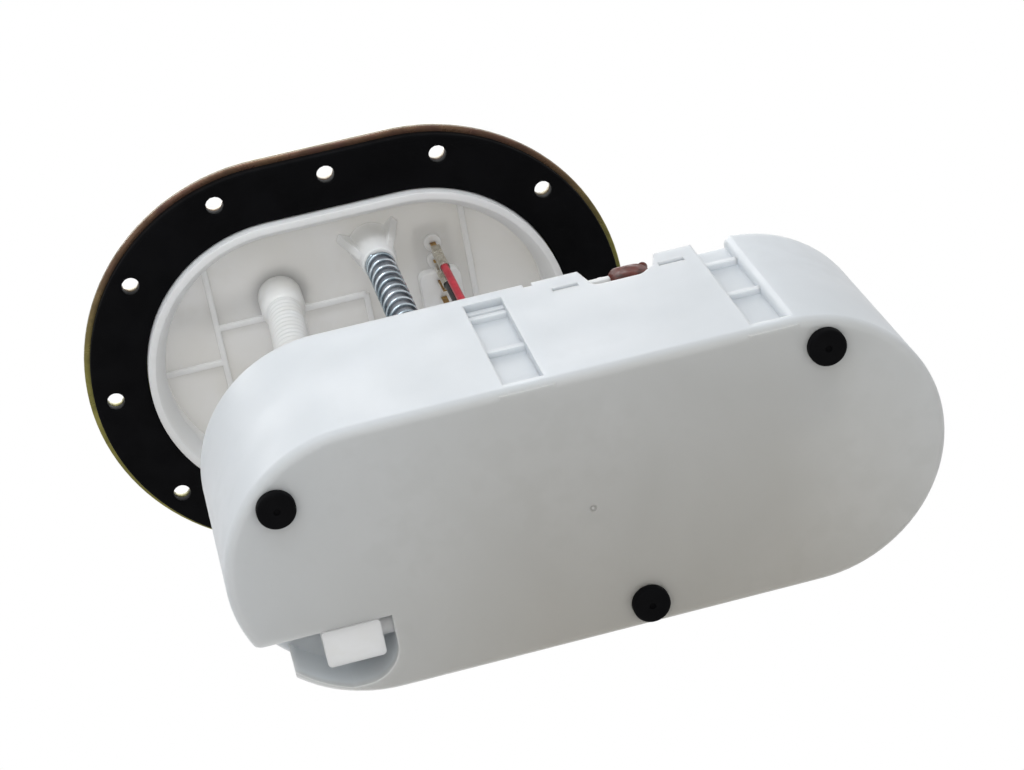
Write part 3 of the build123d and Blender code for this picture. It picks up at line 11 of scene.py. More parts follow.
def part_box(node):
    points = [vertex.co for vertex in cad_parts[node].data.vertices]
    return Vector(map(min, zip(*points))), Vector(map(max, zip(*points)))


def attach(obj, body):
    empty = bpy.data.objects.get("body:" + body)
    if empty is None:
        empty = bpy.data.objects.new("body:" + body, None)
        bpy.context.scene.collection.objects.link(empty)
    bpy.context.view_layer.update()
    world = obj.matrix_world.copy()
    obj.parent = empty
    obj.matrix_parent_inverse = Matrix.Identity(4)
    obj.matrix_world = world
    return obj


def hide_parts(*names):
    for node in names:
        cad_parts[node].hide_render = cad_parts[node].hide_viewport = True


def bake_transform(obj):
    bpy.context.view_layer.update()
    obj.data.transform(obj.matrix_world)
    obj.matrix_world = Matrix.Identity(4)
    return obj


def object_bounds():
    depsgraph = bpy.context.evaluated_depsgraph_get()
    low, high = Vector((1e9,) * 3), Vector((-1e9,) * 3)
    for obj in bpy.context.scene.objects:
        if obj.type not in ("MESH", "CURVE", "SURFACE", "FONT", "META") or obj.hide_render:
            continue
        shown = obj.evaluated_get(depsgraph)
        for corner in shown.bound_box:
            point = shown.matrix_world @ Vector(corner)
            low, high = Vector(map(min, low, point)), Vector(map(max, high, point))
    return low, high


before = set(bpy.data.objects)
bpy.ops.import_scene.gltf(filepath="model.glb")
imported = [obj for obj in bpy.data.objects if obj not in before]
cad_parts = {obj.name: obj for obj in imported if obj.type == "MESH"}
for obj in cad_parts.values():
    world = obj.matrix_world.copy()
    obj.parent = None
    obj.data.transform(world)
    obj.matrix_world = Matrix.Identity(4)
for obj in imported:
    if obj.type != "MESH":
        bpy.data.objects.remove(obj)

bl_info = {
    "name": "Fuel pump module",
    "version": (1, 0, 0),
    "blender": (4, 5, 0),
    "location": "3D View > Sidebar > Pump module",
    "description": "Dresses the in-tank fuel pump module: hoses, springs, leads, rubber and finishes",
    "category": "Object",
}

CAD_BOX = [list(corner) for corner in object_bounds()]
MM = 0.001


# ---------------------------------------------------------------- property helpers
def length(words, millimetres):
    """A length property, written in millimetres and kept in metres."""
    return FloatProperty(
        name=words, description=words, default=millimetres * MM, unit="LENGTH", subtype="DISTANCE", precision=5,
    )


def angle(words, degrees):
    """An angle property, written in degrees and kept in radians."""
    return FloatProperty(
        name=words, description=words, default=math.radians(degrees), unit="ROTATION", subtype="ANGLE",
    )


def colour(words, red, green, blue):
    """A colour property written as 0 to 255 display values and kept as linear light."""
    shown = np.array([red, green, blue]) / 255.0
    linear = np.where(shown <= 0.04045, shown / 12.92, ((shown + 0.055) / 1.055) ** 2.4)
    return FloatVectorProperty(
        name=words, description=words, default=(*linear.tolist(), 1.0), subtype="COLOR", size=4, min=0.0, max=1.0,
    )


class PumpModuleSizes(bpy.types.PropertyGroup):
    """Sizes of the pieces that dress the module."""

    under: length("Reservoir's underside below the seating plane", -165.0)
    cuff_radius: length("Outside of the hose's smooth cuff", 8.1)
    cuff_length: length("Smooth cuff under the lid", 16.0)
    cuff_round: length("Rounding of the cuff's lower end", 5.0)
    hose_radius: length("Crest of the hose's rings", 6.7)
    hose_bore: length("Radius of the hose's bore", 4.7)
    ring_pitch: length("Distance between the hose's rings", 3.2)
    ring_depth: length("Depth of the valley between two rings", 0.38)
    link_radius: length("Outside of the short hose from the pump to the filter", 6.0)
    link_bore: length("Bore of the short hose", 4.2)
    return_radius: length("Outside of the return hose", 4.2)
    return_bore: length("Bore of the return hose", 3.15)
    wire_radius: length("Outside of a lead's insulation", 1.45)
    spring_radius: length("Middle of the wire from the rod's axis", 4.9)
    spring_wire: length("Radius of the spring's wire", 0.7)
    spring_high: length("Top of the springs' wire", -8.2)
    spring_low: length("Foot of the springs' wire", -90.3)
    spring_turns: FloatProperty(name="Spring turns", description="All turns of a spring", default=14.7)
    spring_closed: FloatProperty(name="Closed turns", description="Closed turns at each end", default=0.9)
    rod_x: length("Guide rods along the flange", 12.0)
    rod_y: length("Guide rods from the long middle plane", 32.0)
    lid_floor: length("Underside of the lid's thin floor", 13.5)
    plate_outer: length("Outer end radius of the plate", 77.0)
    plate_inner: length("End radius of the plate's opening", 50.5)
    plate_thick: length("Thickness of the plate", 2.5)
    gasket_outer: length("Outer end radius of the gasket", 75.0)
    gasket_inner: length("Inner end radius of the gasket", 54.7)
    gasket_thick: length("Thickness of the gasket", 4.0)
    gasket_round: length("Rounding of the gasket's edges", 0.55)
    half_straight: length("From the middle to the centre of an end arc", 24.5)
    bolt_path: length("End radius of the line through the bolt holes", 67.5)
    bolt_hole: length("Radius of a bolt hole", 3.2)
    bolt_near: angle("Turn of an end arc's first hole from the long side", 14.2)
    bolt_far: angle("Turn of an end arc's second hole from the long side", 50.8)
    foot_radius: length("Rubber foot", 6.2)
    foot_tall: length("Rubber foot below the reservoir", 3.5)
    plug_x: length("Middle of the plug along the module", 86.5)
    plug_y: length("Middle of the plug across the module", -38.85)


class PumpModuleColours(bpy.types.PropertyGroup):
    """Colours of the finishes."""

    acetal: colour("Natural acetal of the reservoir", 219, 223, 227)
    acetal_flow: colour("Faint darker cloud in the acetal", 212, 216, 219)
    # Painted shade: the next colour darkens the reservoir's underside, deepest at the rear.
    acetal_underside_shade: colour("Tint of the fuel stain under the reservoir", 213, 206, 195)
    nylon: colour("Natural nylon of the lid and cover", 243, 244, 245)
    nylon_flow: colour("Faint warmer cloud in the nylon", 236, 236, 234)
    # Painted shade: the next colour darkens the lid's recessed floor between its ribs.
    nylon_floor_shade: colour("Tint of the thin floor between the lid's ribs", 226, 225, 224)
    hose: colour("Extruded nylon of the hoses", 240, 241, 241)
    hose_valley: colour("Slightly yellowed hose", 230, 228, 223)
    rubber: colour("Black nitrile rubber", 4, 4, 5)
    rubber_bloom: colour("Dusty bloom on the rubber", 9, 9, 11)
    zinc: colour("Yellow passivated zinc", 142, 136, 70)
    zinc_olive: colour("Olive patches of the passivation", 108, 104, 50)
    # The next two colours are a painted reflection, laid on the plate's front side.
    zinc_reflected_brown: colour("Brown patches of the passivation", 112, 82, 68)
    zinc_reflected_brown_dull: colour("Deepest brown of the passivation", 88, 62, 54)
    steel: colour("Ground rods and the pump's can", 176, 178, 184)
    steel_dull: colour("Oiled patches on the steel", 120, 124, 134)
    spring: colour("Oiled spring wire", 196, 204, 210)
    spring_dull: colour("Darker drawn wire", 132, 146, 154)
    tinned: colour("Crimped terminals", 214, 210, 200)
    tinned_dull: colour("Handled tin", 168, 160, 142)
    brass: colour("Pins and blades", 196, 158, 82)
    brass_dull: colour("Tarnished brass", 150, 112, 60)
    plug: colour("Brown plug on the pump", 108, 44, 32)
    plug_dark: colour("Darker resin swirl in the plug", 60, 32, 27)
    red: colour("Red insulation", 206, 40, 62)
    red_dark: colour("Handled red insulation", 168, 26, 46)
    black: colour("Black insulation", 22, 22, 24)
    dark: colour("Black moulded parts of the pump and filter", 36, 37, 39)
    dark_flow: colour("Grey flow marks", 56, 57, 60)
    bronze: colour("Sintered bushes", 142, 106, 72)
    bronze_dark: colour("Oil in the pores", 84, 60, 42)
    ferrite: colour("Ceramic magnets", 62, 62, 66)
    carbon: colour("Brushes", 40, 40, 42)
    copper: colour("Commutator", 190, 112, 78)
    copper_dark: colour("Brush track", 116, 66, 48)
    iron: colour("Armature steel", 104, 104, 108)
    paper: colour("Resin-treated paper", 196, 170, 112)
    paper_dark: colour("Resin between the fibres", 160, 132, 82)
    mesh: colour("Woven nylon mesh", 188, 190, 186)
    mesh_gap: colour("Shade between the threads", 96, 98, 98)


# ---------------------------------------------------------------- surfaces
def stack(*parts):
    """Parts side by side as the last axis, such as x, y and z as places."""
    return np.stack(parts, axis=-1)


def grid_faces(rows, columns, wrap_rows=False, wrap_columns=True):
    """Quads between neighbouring points of a grid; a wrapped way joins its last line to its first."""
    down = np.arange(rows if wrap_rows else rows - 1)
    across = np.arange(columns if wrap_columns else columns - 1)
    i, j = np.meshgrid(down, across, indexing="ij")
    k, l = (i + 1) % rows, (j + 1) % columns
    quads = stack(i * columns + j, i * columns + l, k * columns + l, k * columns + j)
    return quads.reshape(-1, 4)


def surface(points, wrap_rows=False, wrap_columns=True):
    """A grid of places, rows by columns by three, with its faces."""
    rows, columns = points.shape[:2]
    return points.reshape(-1, 3), grid_faces(rows, columns, wrap_rows, wrap_columns)


def make_piece(name, shapes, material, slot, replaced, sharp=50.0):
    """Joins surfaces into one closed mesh: doubles merged, faces outwards, shading smooth below an angle."""
    starts = np.cumsum([0] + [len(points) for points, faces in shapes[:-1]])
    places = np.concatenate([points for points, faces in shapes])
    quads = np.concatenate([faces + start for (points, faces), start in zip(shapes, starts)])
    mesh = bpy.data.meshes.new(name)
    mesh.from_pydata(places.tolist(), [], quads.tolist())
    work = bmesh.new()
    work.from_mesh(mesh)
    bmesh.ops.remove_doubles(work, verts=work.verts, dist=2e-6)
    bmesh.ops.recalc_face_normals(work, faces=work.faces)
    if any(len(edge.link_faces) != 2 for edge in work.edges):
        work.free()
        raise RuntimeError(f"{name} is not a closed surface")
    work.to_mesh(mesh)
    work.free()
    mesh.polygons.foreach_set("use_smooth", np.ones(len(mesh.polygons), bool))
    mesh.set_sharp_from_angle(angle=math.radians(sharp))
    mesh.materials.append(material)
    piece = bpy.data.objects.new(name, mesh)
    bpy.context.scene.collection.objects.link(piece)
    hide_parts(*replaced)
    return piece


def soft_profile(corners, rounding, steps=4, closed=False):
    """A profile whose corners are replaced by parabolas that start and end a rounding away from each corner.

    A parabola is the blend of its start, the corner and its end, weighted (1-t)^2, 2t(1-t) and t^2.
    """
    corners = np.array(corners, float)
    rounding = np.broadcast_to(np.asarray(rounding, float), len(corners))[:, None]
    before, after = np.roll(corners, 1, axis=0) - corners, np.roll(corners, -1, axis=0) - corners
    start = corners + before / np.linalg.norm(before, axis=1, keepdims=True) * rounding
    end = corners + after / np.linalg.norm(after, axis=1, keepdims=True) * rounding
    t = np.linspace(0, 1, steps)[None, :, None]
    curve = (1 - t) ** 2 * start[:, None] + 2 * t * (1 - t) * corners[:, None] + t**2 * end[:, None]
    if closed:
        return curve.reshape(-1, 2)
    return np.concatenate([corners[:1], curve[1:-1].reshape(-1, 2), corners[-1:]])


def full_turn(count):
    """Evenly spaced angles round a circle, as one row."""
    return np.linspace(0, 2 * math.pi, count, endpoint=False)[None, :]


def middle_of(low, high):
    """The middle of a box seen from above."""
    return (low.x + high.x) / 2, (low.y + high.y) / 2


def revolve(profile, x, y, segments=48, closed=False):
    """Turns a profile of radius and height round an upright axis: x + r cos a, y + r sin a, z."""
    turn = full_turn(segments)
    r, z = profile[:, :1], profile[:, 1:]
    points = stack(x + r * np.cos(turn), y + r * np.sin(turn), z + 0 * turn)
    return surface(points, wrap_rows=closed)


def read_route(controls, spacing):
    """Places a given distance apart along the order-three NURBS spline of a route's control points."""
    controls = np.array(controls, float) * MM
    data = bpy.data.curves.new("route", "CURVE")
    data.dimensions = "3D"
    spline = data.splines.new("NURBS")
    spline.points.add(len(controls) - 1)
    spline.points.foreach_set("co", np.c_[controls, np.ones(len(controls))].ravel())
    spline.order_u = 3
    spline.use_endpoint_u = True
    spline.resolution_u = 48
    holder = bpy.data.objects.new("route", data)
    line = bpy.data.meshes.new_from_object(holder)
    raw = np.zeros(len(line.vertices) * 3)
    line.vertices.foreach_get("co", raw)
    raw = raw.reshape(-1, 3)
    bpy.data.meshes.remove(line)
    bpy.data.objects.remove(holder)
    bpy.data.curves.remove(data)
    run = np.concatenate([[0], np.cumsum(np.linalg.norm(np.diff(raw, axis=0), axis=1))])
    count = max(int(round(run[-1] / spacing)) + 1, 8)
    along = np.linspace(0, run[-1], count)
    return np.stack([np.interp(along, run, raw[:, axis]) for axis in range(3)], axis=-1), along


def unit(vectors):
    """Vectors of length one."""
    return vectors / np.linalg.norm(vectors, axis=-1, keepdims=True)


def carry_round(path, radii, reference, segments):
    """Circles carried along a path: place + radius (cos a side + sin a up), square to the path's own direction."""
    ahead = unit(np.gradient(path, axis=0))
    side = unit(np.cross(np.asarray(reference, float), ahead))
    upward = np.cross(ahead, side)
    turn = full_turn(segments)[..., None]
    reach = radii[:, None, None]
    return path[:, None] + reach * (np.cos(turn) * side[:, None] + np.sin(turn) * upward[:, None])


def hose_surface(path, outer, inner, reference, segments=40):
    """A hollow hose: its outside out, its bore back, joined at both ends."""
    outside = carry_round(path, outer, reference, segments)
    inside = carry_round(path, inner, reference, segments)[::-1]
    return surface(np.concatenate([outside, inside]), wrap_rows=True)


def wire_surface(path, radius, reference, segments=20):
    """A full round wire whose radius closes to nothing at both rounded ends."""
    run = np.concatenate([[0], np.cumsum(np.linalg.norm(np.diff(path, axis=0), axis=1))])
    near = np.clip(np.minimum(run, run[-1] - run) / (radius * 0.5), 0, 1)
    radii = radius * np.sqrt(np.clip(1 - (1 - near) ** 2, 0, 1))
    return surface(carry_round(path, radii, reference, segments))


def spine_place(share, reach, half, path_radius):
    """Place on a stadium: a straight spine carried outwards by reach.

    share is 0 to 1 of the length of the stadium at the path radius, from the middle of its front side.
    """
    arc = math.pi * path_radius
    along = np.mod(share, 1.0) * (4 * half + 2 * arc)
    turn = np.clip((along - half) / path_radius, 0, math.pi)
    turn = turn + np.clip((along - 3 * half - arc) / path_radius, 0, math.pi)
    spine = np.clip(along, 0, half) - np.clip(along - half - arc, 0, 2 * half)
    spine = spine + np.clip(along - 3 * half - 2 * arc, 0, half)
    return stack(spine + reach * np.sin(turn), -reach * np.cos(turn))


def mesh_levels(thick, rounding, steps=4):
    """Inset and height from the foot's face up a wall to the top's face, as two quarter arcs."""
    turn = np.linspace(0, math.pi / 2, steps)
    inset = rounding * (1 - np.sin(turn))
    rise = rounding * (1 - np.cos(turn))
    return np.concatenate([inset, inset[::-1]]), np.concatenate([rise, thick - rise[::-1]])


def hole_shares(s):
    """Places of the bolt holes as shares of the stadium's length, the same on all four quarters."""
    quarter = s.half_straight + s.bolt_path * math.pi / 2
    near, far = s.half_straight + s.bolt_path * s.bolt_near, s.half_straight + s.bolt_path * s.bolt_far
    half = np.array([0, near, far, quarter, 2 * quarter - far, 2 * quarter - near])
    return np.concatenate([half, half + 2 * quarter]) / (4 * quarter)


def lift(plan, heights):
    """Places of a plan at one height for each row."""
    return np.concatenate([plan, np.broadcast_to(heights[:, None, None], plan.shape[:2] + (1,))], axis=-1)


def ring_wall(s, spans, profile):
    """The wall along one edge of a ring: each level is the stadium at its own reach."""
    plan = spine_place(spans[:, :-1].reshape(1, -1), profile[:, :1], s.half_straight, s.bolt_path)
    return surface(lift(plan, profile[:, 1]))


def ring_sector(s, share, span, inner, outer, hole):
    """The faces round one bolt hole: straight lines from the hole's rim to the sector's border."""
    curved, radial = len(span), 7
    turned = np.concatenate([span[:-1], np.full(radial - 1, span[-1]), span[:0:-1], np.full(radial - 1, span[0])])
    borders = []
    for low, high in ((inner[0, 0], outer[0, 0]), (inner[-1, 0], outer[-1, 0])):
        reach = np.linspace(low, high, radial)
        out = np.concatenate([np.full(curved - 1, high), reach[:0:-1], np.full(curved - 1, low), reach[:-1]])
        borders.append(spine_place(turned, out, s.half_straight, s.bolt_path))
    centre = spine_place(np.array([share]), s.bolt_path, s.half_straight, s.bolt_path)
    rim = centre + unit(borders[0] - centre)[None] * hole[:, :1, None]
    blend = np.linspace(0, 1, 5)[1:, None, None]
    under = rim[0][None] * (1 - blend) + borders[0][None] * blend
    above = rim[-1][None] * (1 - blend) + borders[1][None] * blend
    heights = np.concatenate([np.full(4, hole[0, 1]), hole[:, 1], np.full(4, hole[-1, 1])])
    return surface(lift(np.concatenate([under[::-1], rim, above]), heights))


def bolted_ring(s, inner, outer, hole):
    """A stadium-shaped ring with bolt holes; the three profiles are reach and height from lower to upper face."""
    holes = hole_shares(s)
    halfway = (holes + np.append(holes[1:], 1.0)) / 2
    spans = np.linspace(np.append(halfway[-1] - 1, halfway[:-1]), halfway, 13, axis=-1)
    sectors = [ring_sector(s, share, span, inner, outer, hole) for share, span in zip(holes, spans)]
    return sectors + [ring_wall(s, spans, inner), ring_wall(s, spans, outer)]


# ---------------------------------------------------------------- shader parts
SOCKETS = {float: "NodeSocketFloat", tuple: "NodeSocketColor", type(None): "NodeSocketVector"}


def new_group(name, **inputs):
    """A shader node group; a number makes a value socket, a tuple a colour and None a vector.

    Gives the tree and the sockets of its input node. Underscores in a name stand for spaces.
    """
    tree = bpy.data.node_groups.new(name, "ShaderNodeTree")
    for title, default in inputs.items():
        kind = SOCKETS[type(default)]
        made = tree.interface.new_socket(name=title.replace("_", " "), in_out="INPUT", socket_type=kind)
        if default is not None:
            made.default_value = default
    return tree, tree.nodes.new("NodeGroupInput").outputs


def end_group(tree, **outputs):
    """Gives a group its output sockets, each fed by one of its nodes; a Colour or Normal socket is of that kind."""
    kinds = {"Colour": "NodeSocketColor", "Normal": "NodeSocketVector"}
    for title in outputs:
        kind = kinds.get(title, "NodeSocketFloat")
        tree.interface.new_socket(name=title, in_out="OUTPUT", socket_type=kind)
    out = tree.nodes.new("NodeGroupOutput")
    for title, source in outputs.items():
        tree.links.new(source, out.inputs[title])
    return tree


def add_node(tree, kind, links=None, **values):
    """Adds a node, sets its own settings and plain sockets, and links sockets from others."""
    node = tree.nodes.new(kind)
    for key, value in values.items():
        setattr(node, key, value)
    for key, source in (links or {}).items():
        if isinstance(source, bpy.types.NodeSocket):
            tree.links.new(source, node.inputs[key])
        else:
            node.inputs[key].default_value = source
    return node


def mix_colours(tree, factor, first, second, blend_type="MIX"):
    """The colour between two others, or their product with blend_type MULTIPLY."""
    links = {0: factor, 6: first, 7: second}
    return add_node(tree, "ShaderNodeMix", links, data_type="RGBA", blend_type=blend_type).outputs[2]


def noise(tree, vector, scale, detail=3.0, distortion=0.0):
    """Fractal noise, 0 to 1."""
    links = {"Vector": vector, "Scale": scale, "Detail": detail, "Distortion": distortion}
    return add_node(tree, "ShaderNodeTexNoise", links).outputs["Fac"]


def spread(tree, value, low, high, to_low=0.0, to_high=1.0):
    """Stretches a value's range from low and high to two new ends."""
    links = {"Value": value, "From Min": low, "From Max": high, "To Min": to_low, "To Max": to_high}
    return add_node(tree, "ShaderNodeMapRange", links).outputs["Result"]


def maths(tree, operation, *values):
    """One arithmetic step."""
    return add_node(tree, "ShaderNodeMath", dict(enumerate(values)), operation=operation).outputs[0]


def split(tree, vector):
    """The three parts of a vector."""
    return add_node(tree, "ShaderNodeSeparateXYZ", {0: vector}).outputs


@cache
def soft_edges_group():
    """Rounded shading of a moulding's or pressing's edges, and a mask that is 1 on those edges."""
    tree, given = new_group("Soft edges", Edge_Radius=0.0004)
    bevel = add_node(tree, "ShaderNodeBevel", {"Radius": given["Edge Radius"]}, samples=4)
    plain = add_node(tree, "ShaderNodeNewGeometry")
    links = {0: bevel.outputs[0], 1: plain.outputs["Normal"]}
    same = add_node(tree, "ShaderNodeVectorMath", links, operation="DOT_PRODUCT")
    return end_group(tree, Normal=bevel.outputs[0], Edge=spread(tree, same.outputs["Value"], 0.985, 0.80))


@cache
def grain_group():
    """Clouded colour, uneven gloss and a fine grain, for mouldings, rubber and insulation.

    Colour is mixed by large noise and lightened on edges as a painted highlight; roughness follows middle noise;
    height is fine noise.
    """
    tree, given = new_group(
        "Moulded grain", Vector=None, Colour=(0.8, 0.8, 0.8, 1), Cloud_Colour=(0.7, 0.7, 0.7, 1), Edge=0.0,
        Edge_Colour=(0.9, 0.9, 0.9, 1), Cloud_Scale=30.0, Grain_Scale=1500.0, Smooth=0.4, Rough=0.6,
    )
    place, scale = given["Vector"], given["Cloud Scale"]
    cloud = spread(tree, noise(tree, place, scale, 4.0, 0.6), 0.35, 0.65)
    speck = noise(tree, place, maths(tree, "MULTIPLY", scale, 9.0), 2.0)
    speck = spread(tree, speck, 0.40, 0.62, 0.0, 0.45)
    body = mix_colours(tree, maths(tree, "MAXIMUM", cloud, speck), given["Colour"], given["Cloud Colour"])
    # painted highlight: edges lightened towards the edge colour, broken up by the specks
    edge_highlight = maths(tree, "MULTIPLY", given["Edge"], spread(tree, speck, 0.0, 0.45, 0.35, 0.8))
    body = mix_colours(tree, edge_highlight, body, given["Edge Colour"])
    fine = noise(tree, place, given["Grain Scale"], 2.0)
    gloss = noise(tree, place, maths(tree, "MULTIPLY", scale, 3.0), 3.0)
    gloss = spread(tree, gloss, 0.3, 0.7, given["Smooth"], given["Rough"])
    return end_group(tree, Colour=body, Roughness=gloss, Height=fine)


@cache
def metal_group():
    """Drawn or ground metal: fine lines, stains, brighter edges.

    The lines' vector comes stretched along the lines, so noise of it is long streaks.
    """
    tree, given = new_group(
        "Worked metal", Vector=None, Lines_Vector=None, Colour=(0.7, 0.7, 0.7, 1), Dull_Colour=(0.4, 0.4, 0.4, 1),
        Edge=0.0, Edge_Colour=(0.9, 0.9, 0.9, 1), Stain_Scale=60.0, Line_Scale=900.0, Smooth=0.2, Rough=0.45,
    )
    stain = spread(tree, noise(tree, given["Vector"], given["Stain Scale"], 4.0, 0.8), 0.38, 0.66)
    lines = noise(tree, given["Lines Vector"], given["Line Scale"], 2.0)
    streak = maths(tree, "MULTIPLY", spread(tree, lines, 0.4, 0.7), 0.35)
    body = mix_colours(tree, maths(tree, "MAXIMUM", stain, streak), given["Colour"], given["Dull Colour"])
    body = mix_colours(tree, maths(tree, "MULTIPLY", given["Edge"], 0.7), body, given["Edge Colour"])
    gloss = maths(tree, "ADD", maths(tree, "MULTIPLY", stain, 0.6), maths(tree, "MULTIPLY", lines, 0.4))
    gloss = spread(tree, gloss, 0.1, 0.9, given["Smooth"], given["Rough"])
    return end_group(tree, Colour=body, Roughness=gloss, Height=lines)


@cache
def weave_group():
    """Plain weave: the larger of two crossed rows of half-round threads, with the gaps as a mask."""
    tree, given = new_group("Plain weave", Vector=None, Threads=2500.0)
    rows = [
        maths(tree, "ABSOLUTE", maths(tree, "SINE", maths(tree, "MULTIPLY", axis, given["Threads"])))
        for axis in split(tree, given["Vector"])[:2]
    ]
    high = maths(tree, "MAXIMUM", *rows)
    return end_group(tree, Gap=spread(tree, high, 0.75, 0.45), Height=high)


def place_group(tree, group, links):
    """Puts a shared group into a material and gives its output sockets."""
    return add_node(tree, "ShaderNodeGroup", links, node_tree=group()).outputs


def start_material(name, stretch=(1.0, 1.0, 1.0)):
    """A material's node tree, its object coordinates and a stretched copy of them."""
    material = bpy.data.materials.new(name)
    material.use_nodes = True
    tree = material.node_tree
    place = add_node(tree, "ShaderNodeTexCoord").outputs["Object"]
    lines = add_node(tree, "ShaderNodeMapping", {"Vector": place, "Scale": stretch})
    return material, tree, place, lines.outputs[0]


def end_material(material, body, surface_look, normal, strength, depth, **values):
    """Feeds the shader its colour, roughness and bump, and sets its plain sockets. Gives the material."""
    tree = material.node_tree
    links = {"Height": surface_look["Height"], "Strength": strength, "Distance": depth}
    if normal:
        links["Normal"] = normal
    bump = add_node(tree, "ShaderNodeBump", links)
    shader = tree.nodes["Principled BSDF"].inputs
    tree.links.new(body, shader["Base Color"])
    tree.links.new(surface_look["Roughness"], shader["Roughness"])
    tree.links.new(bump.outputs["Normal"], shader["Normal"])
    for title, value in values.items():
        shader[title.replace("_", " ")].default_value = value
    return material


def lighter(shade, share):
    """A colour part of the way to white."""
    return tuple(c + (1 - c) * share for c in shade[:3]) + (1.0,)


UNDERSIDE_SHADE_LOW, UNDERSIDE_SHADE_HIGH = 0.5, 3.5  # millimetres over the underside where the painted shade starts and has gone
FLOOR_SHADE_LOW, FLOOR_SHADE_HIGH = 0.7 * MM, 0.2 * MM  # below the lid's floor, where its painted shade starts and is full
SIDE_REACH = 0.047  # half the reservoir's width
UNDERSIDE_SHADE_X = 0.07  # along the reservoir, where the painted shade is deepest


def underside_shade_mask(tree, place):
    """Where shade is painted on the reservoir's underside: deepest at the rear and round one place along it."""
    x, y, z = split(tree, place)
    under = spread(tree, z, level(UNDERSIDE_SHADE_LOW), level(UNDERSIDE_SHADE_HIGH), 1.0, 0.0)
    across = spread(tree, y, -SIDE_REACH, SIDE_REACH, 0.5, 1.0)
    away = maths(tree, "ABSOLUTE", maths(tree, "SUBTRACT", x, UNDERSIDE_SHADE_X))
    ends = spread(tree, away, 0.04, 0.14, 1.0, 0.35)
    return maths(tree, "MULTIPLY", under, maths(tree, "MULTIPLY", across, ends))


def lid_floor_shade_mask(tree, place):
    """The thin floor between the lid's ribs, where shade is painted."""
    floor = sizes().lid_floor
    return spread(tree, split(tree, place)["Z"], floor - FLOOR_SHADE_LOW, floor - FLOOR_SHADE_HIGH)


def plastic(name, shade, cloud, smooth=0.38, rough=0.55, cloud_scale=22.0, grain_scale=1600.0,
            depth=0.00002, edge=0.0004, edge_light=0.25, specular=0.5, glow=0.0, glow_depth=5.0,
            tint=None, mask=None):
    """A moulded or extruded plastic or rubber, its colours given by name.

    glow is how much light goes through the skin, and glow_depth how many millimetres deep; tint multiplies the
    colour where mask gives one.
    """
    shade, cloud = shades(shade, cloud)
    material, tree, place, lines = start_material(name)
    edges = place_group(tree, soft_edges_group, {"Edge Radius": edge})
    grain = place_group(tree, grain_group, {
        "Vector": lines, "Colour": shade, "Cloud Colour": cloud, "Edge": edges["Edge"],
        # the edge colour is a painted highlight on the soft edges
        "Edge Colour": lighter(shade, edge_light), "Cloud Scale": cloud_scale, "Grain Scale": grain_scale,
        "Smooth": smooth, "Rough": rough,
    })
    body = grain["Colour"]
    if tint:
        body = mix_colours(tree, mask(tree, place), body, *shades(tint), "MULTIPLY")
    return end_material(
        material, body, grain, edges["Normal"], 0.6, depth, Specular_IOR_Level=specular, Subsurface_Weight=glow,
        Subsurface_Scale=glow_depth * MM, Subsurface_Radius=(1.0, 0.99, 0.97),
    )


def metal(name, shade, dull, smooth=0.2, rough=0.4, stretch=(1.0, 1.0, 0.05), stain_scale=60.0,
          line_scale=1800.0, depth=0.00001, metallic=1.0):
    """A drawn, ground or plated metal, its colours given by name; stretch makes its lines long where it is small."""
    shade, dull = shades(shade, dull)
    material, tree, place, lines = start_material(name, stretch)
    edges = place_group(tree, soft_edges_group, {"Edge Radius": 0.0002})
    worked = place_group(tree, metal_group, {
        "Vector": place, "Lines Vector": lines, "Colour": shade, "Dull Colour": dull, "Edge": edges["Edge"],
        "Edge Colour": lighter(shade, 0.5), "Stain Scale": stain_scale, "Line Scale": line_scale,
        "Smooth": smooth, "Rough": rough,
    })
    return end_material(material, worked["Colour"], worked, edges["Normal"], 0.5, depth, Metallic=metallic)


SEAM_HEIGHT = 0.0052  # of the groove round the plate's edge, where a fine dark line of painted shade runs
SEAM_SHADE_TINT = (0.4, 0.36, 0.32, 1.0)


@cache
def zinc_finish():
    """Passivated zinc: gold and olive patches that run into each other, and a painted reflection that makes it
    browner towards the front side.
    """
    zinc, olive, browned, dark = shades("zinc", "zinc_olive", "zinc_reflected_brown", "zinc_reflected_brown_dull")
    material, tree, place, lines = start_material("yellow_zinc", (0.25, 1.0, 1.0))
    edges = place_group(tree, soft_edges_group, {"Edge Radius": 0.0004})
    y, z = split(tree, place)[1:]
    # painted reflection: brown towards the front side and the plate's lower face
    brown = maths(tree, "MULTIPLY", spread(tree, y, -0.012, -0.050), spread(tree, z, 0.0042, 0.0056, 1.0, 0.45))
    # painted shade: a fine dark line along the groove round the plate's edge
    off_seam = maths(tree, "ABSOLUTE", maths(tree, "SUBTRACT", z, SEAM_HEIGHT))
    seam = spread(tree, off_seam, 0.0001, 0.0005, 1.0, 0.0)
    patch = spread(tree, noise(tree, place, 38.0, 3.0, 1.2), 0.38, 0.62)
    cloud = spread(tree, noise(tree, place, 90.0, 4.0, 0.8), 0.35, 0.65)
    brown = maths(tree, "MULTIPLY", brown, spread(tree, cloud, 0.0, 1.0, 0.85, 1.0))
    body = mix_colours(tree, brown, mix_colours(tree, patch, zinc, olive), browned)
    body = mix_colours(tree, seam, body, SEAM_SHADE_TINT, "MULTIPLY")
    worked = place_group(tree, metal_group, {
        "Vector": place, "Lines Vector": lines, "Colour": body, "Dull Colour": mix_colours(tree, brown, olive, dark),
        "Edge": edges["Edge"], "Edge Colour": lighter(zinc, 0.45), "Stain Scale": 140.0, "Line Scale": 1500.0,
        "Smooth": 0.24, "Rough": 0.42,
    })
    return end_material(material, worked["Colour"], worked, edges["Normal"], 0.5, 0.00001, Metallic=0.6)


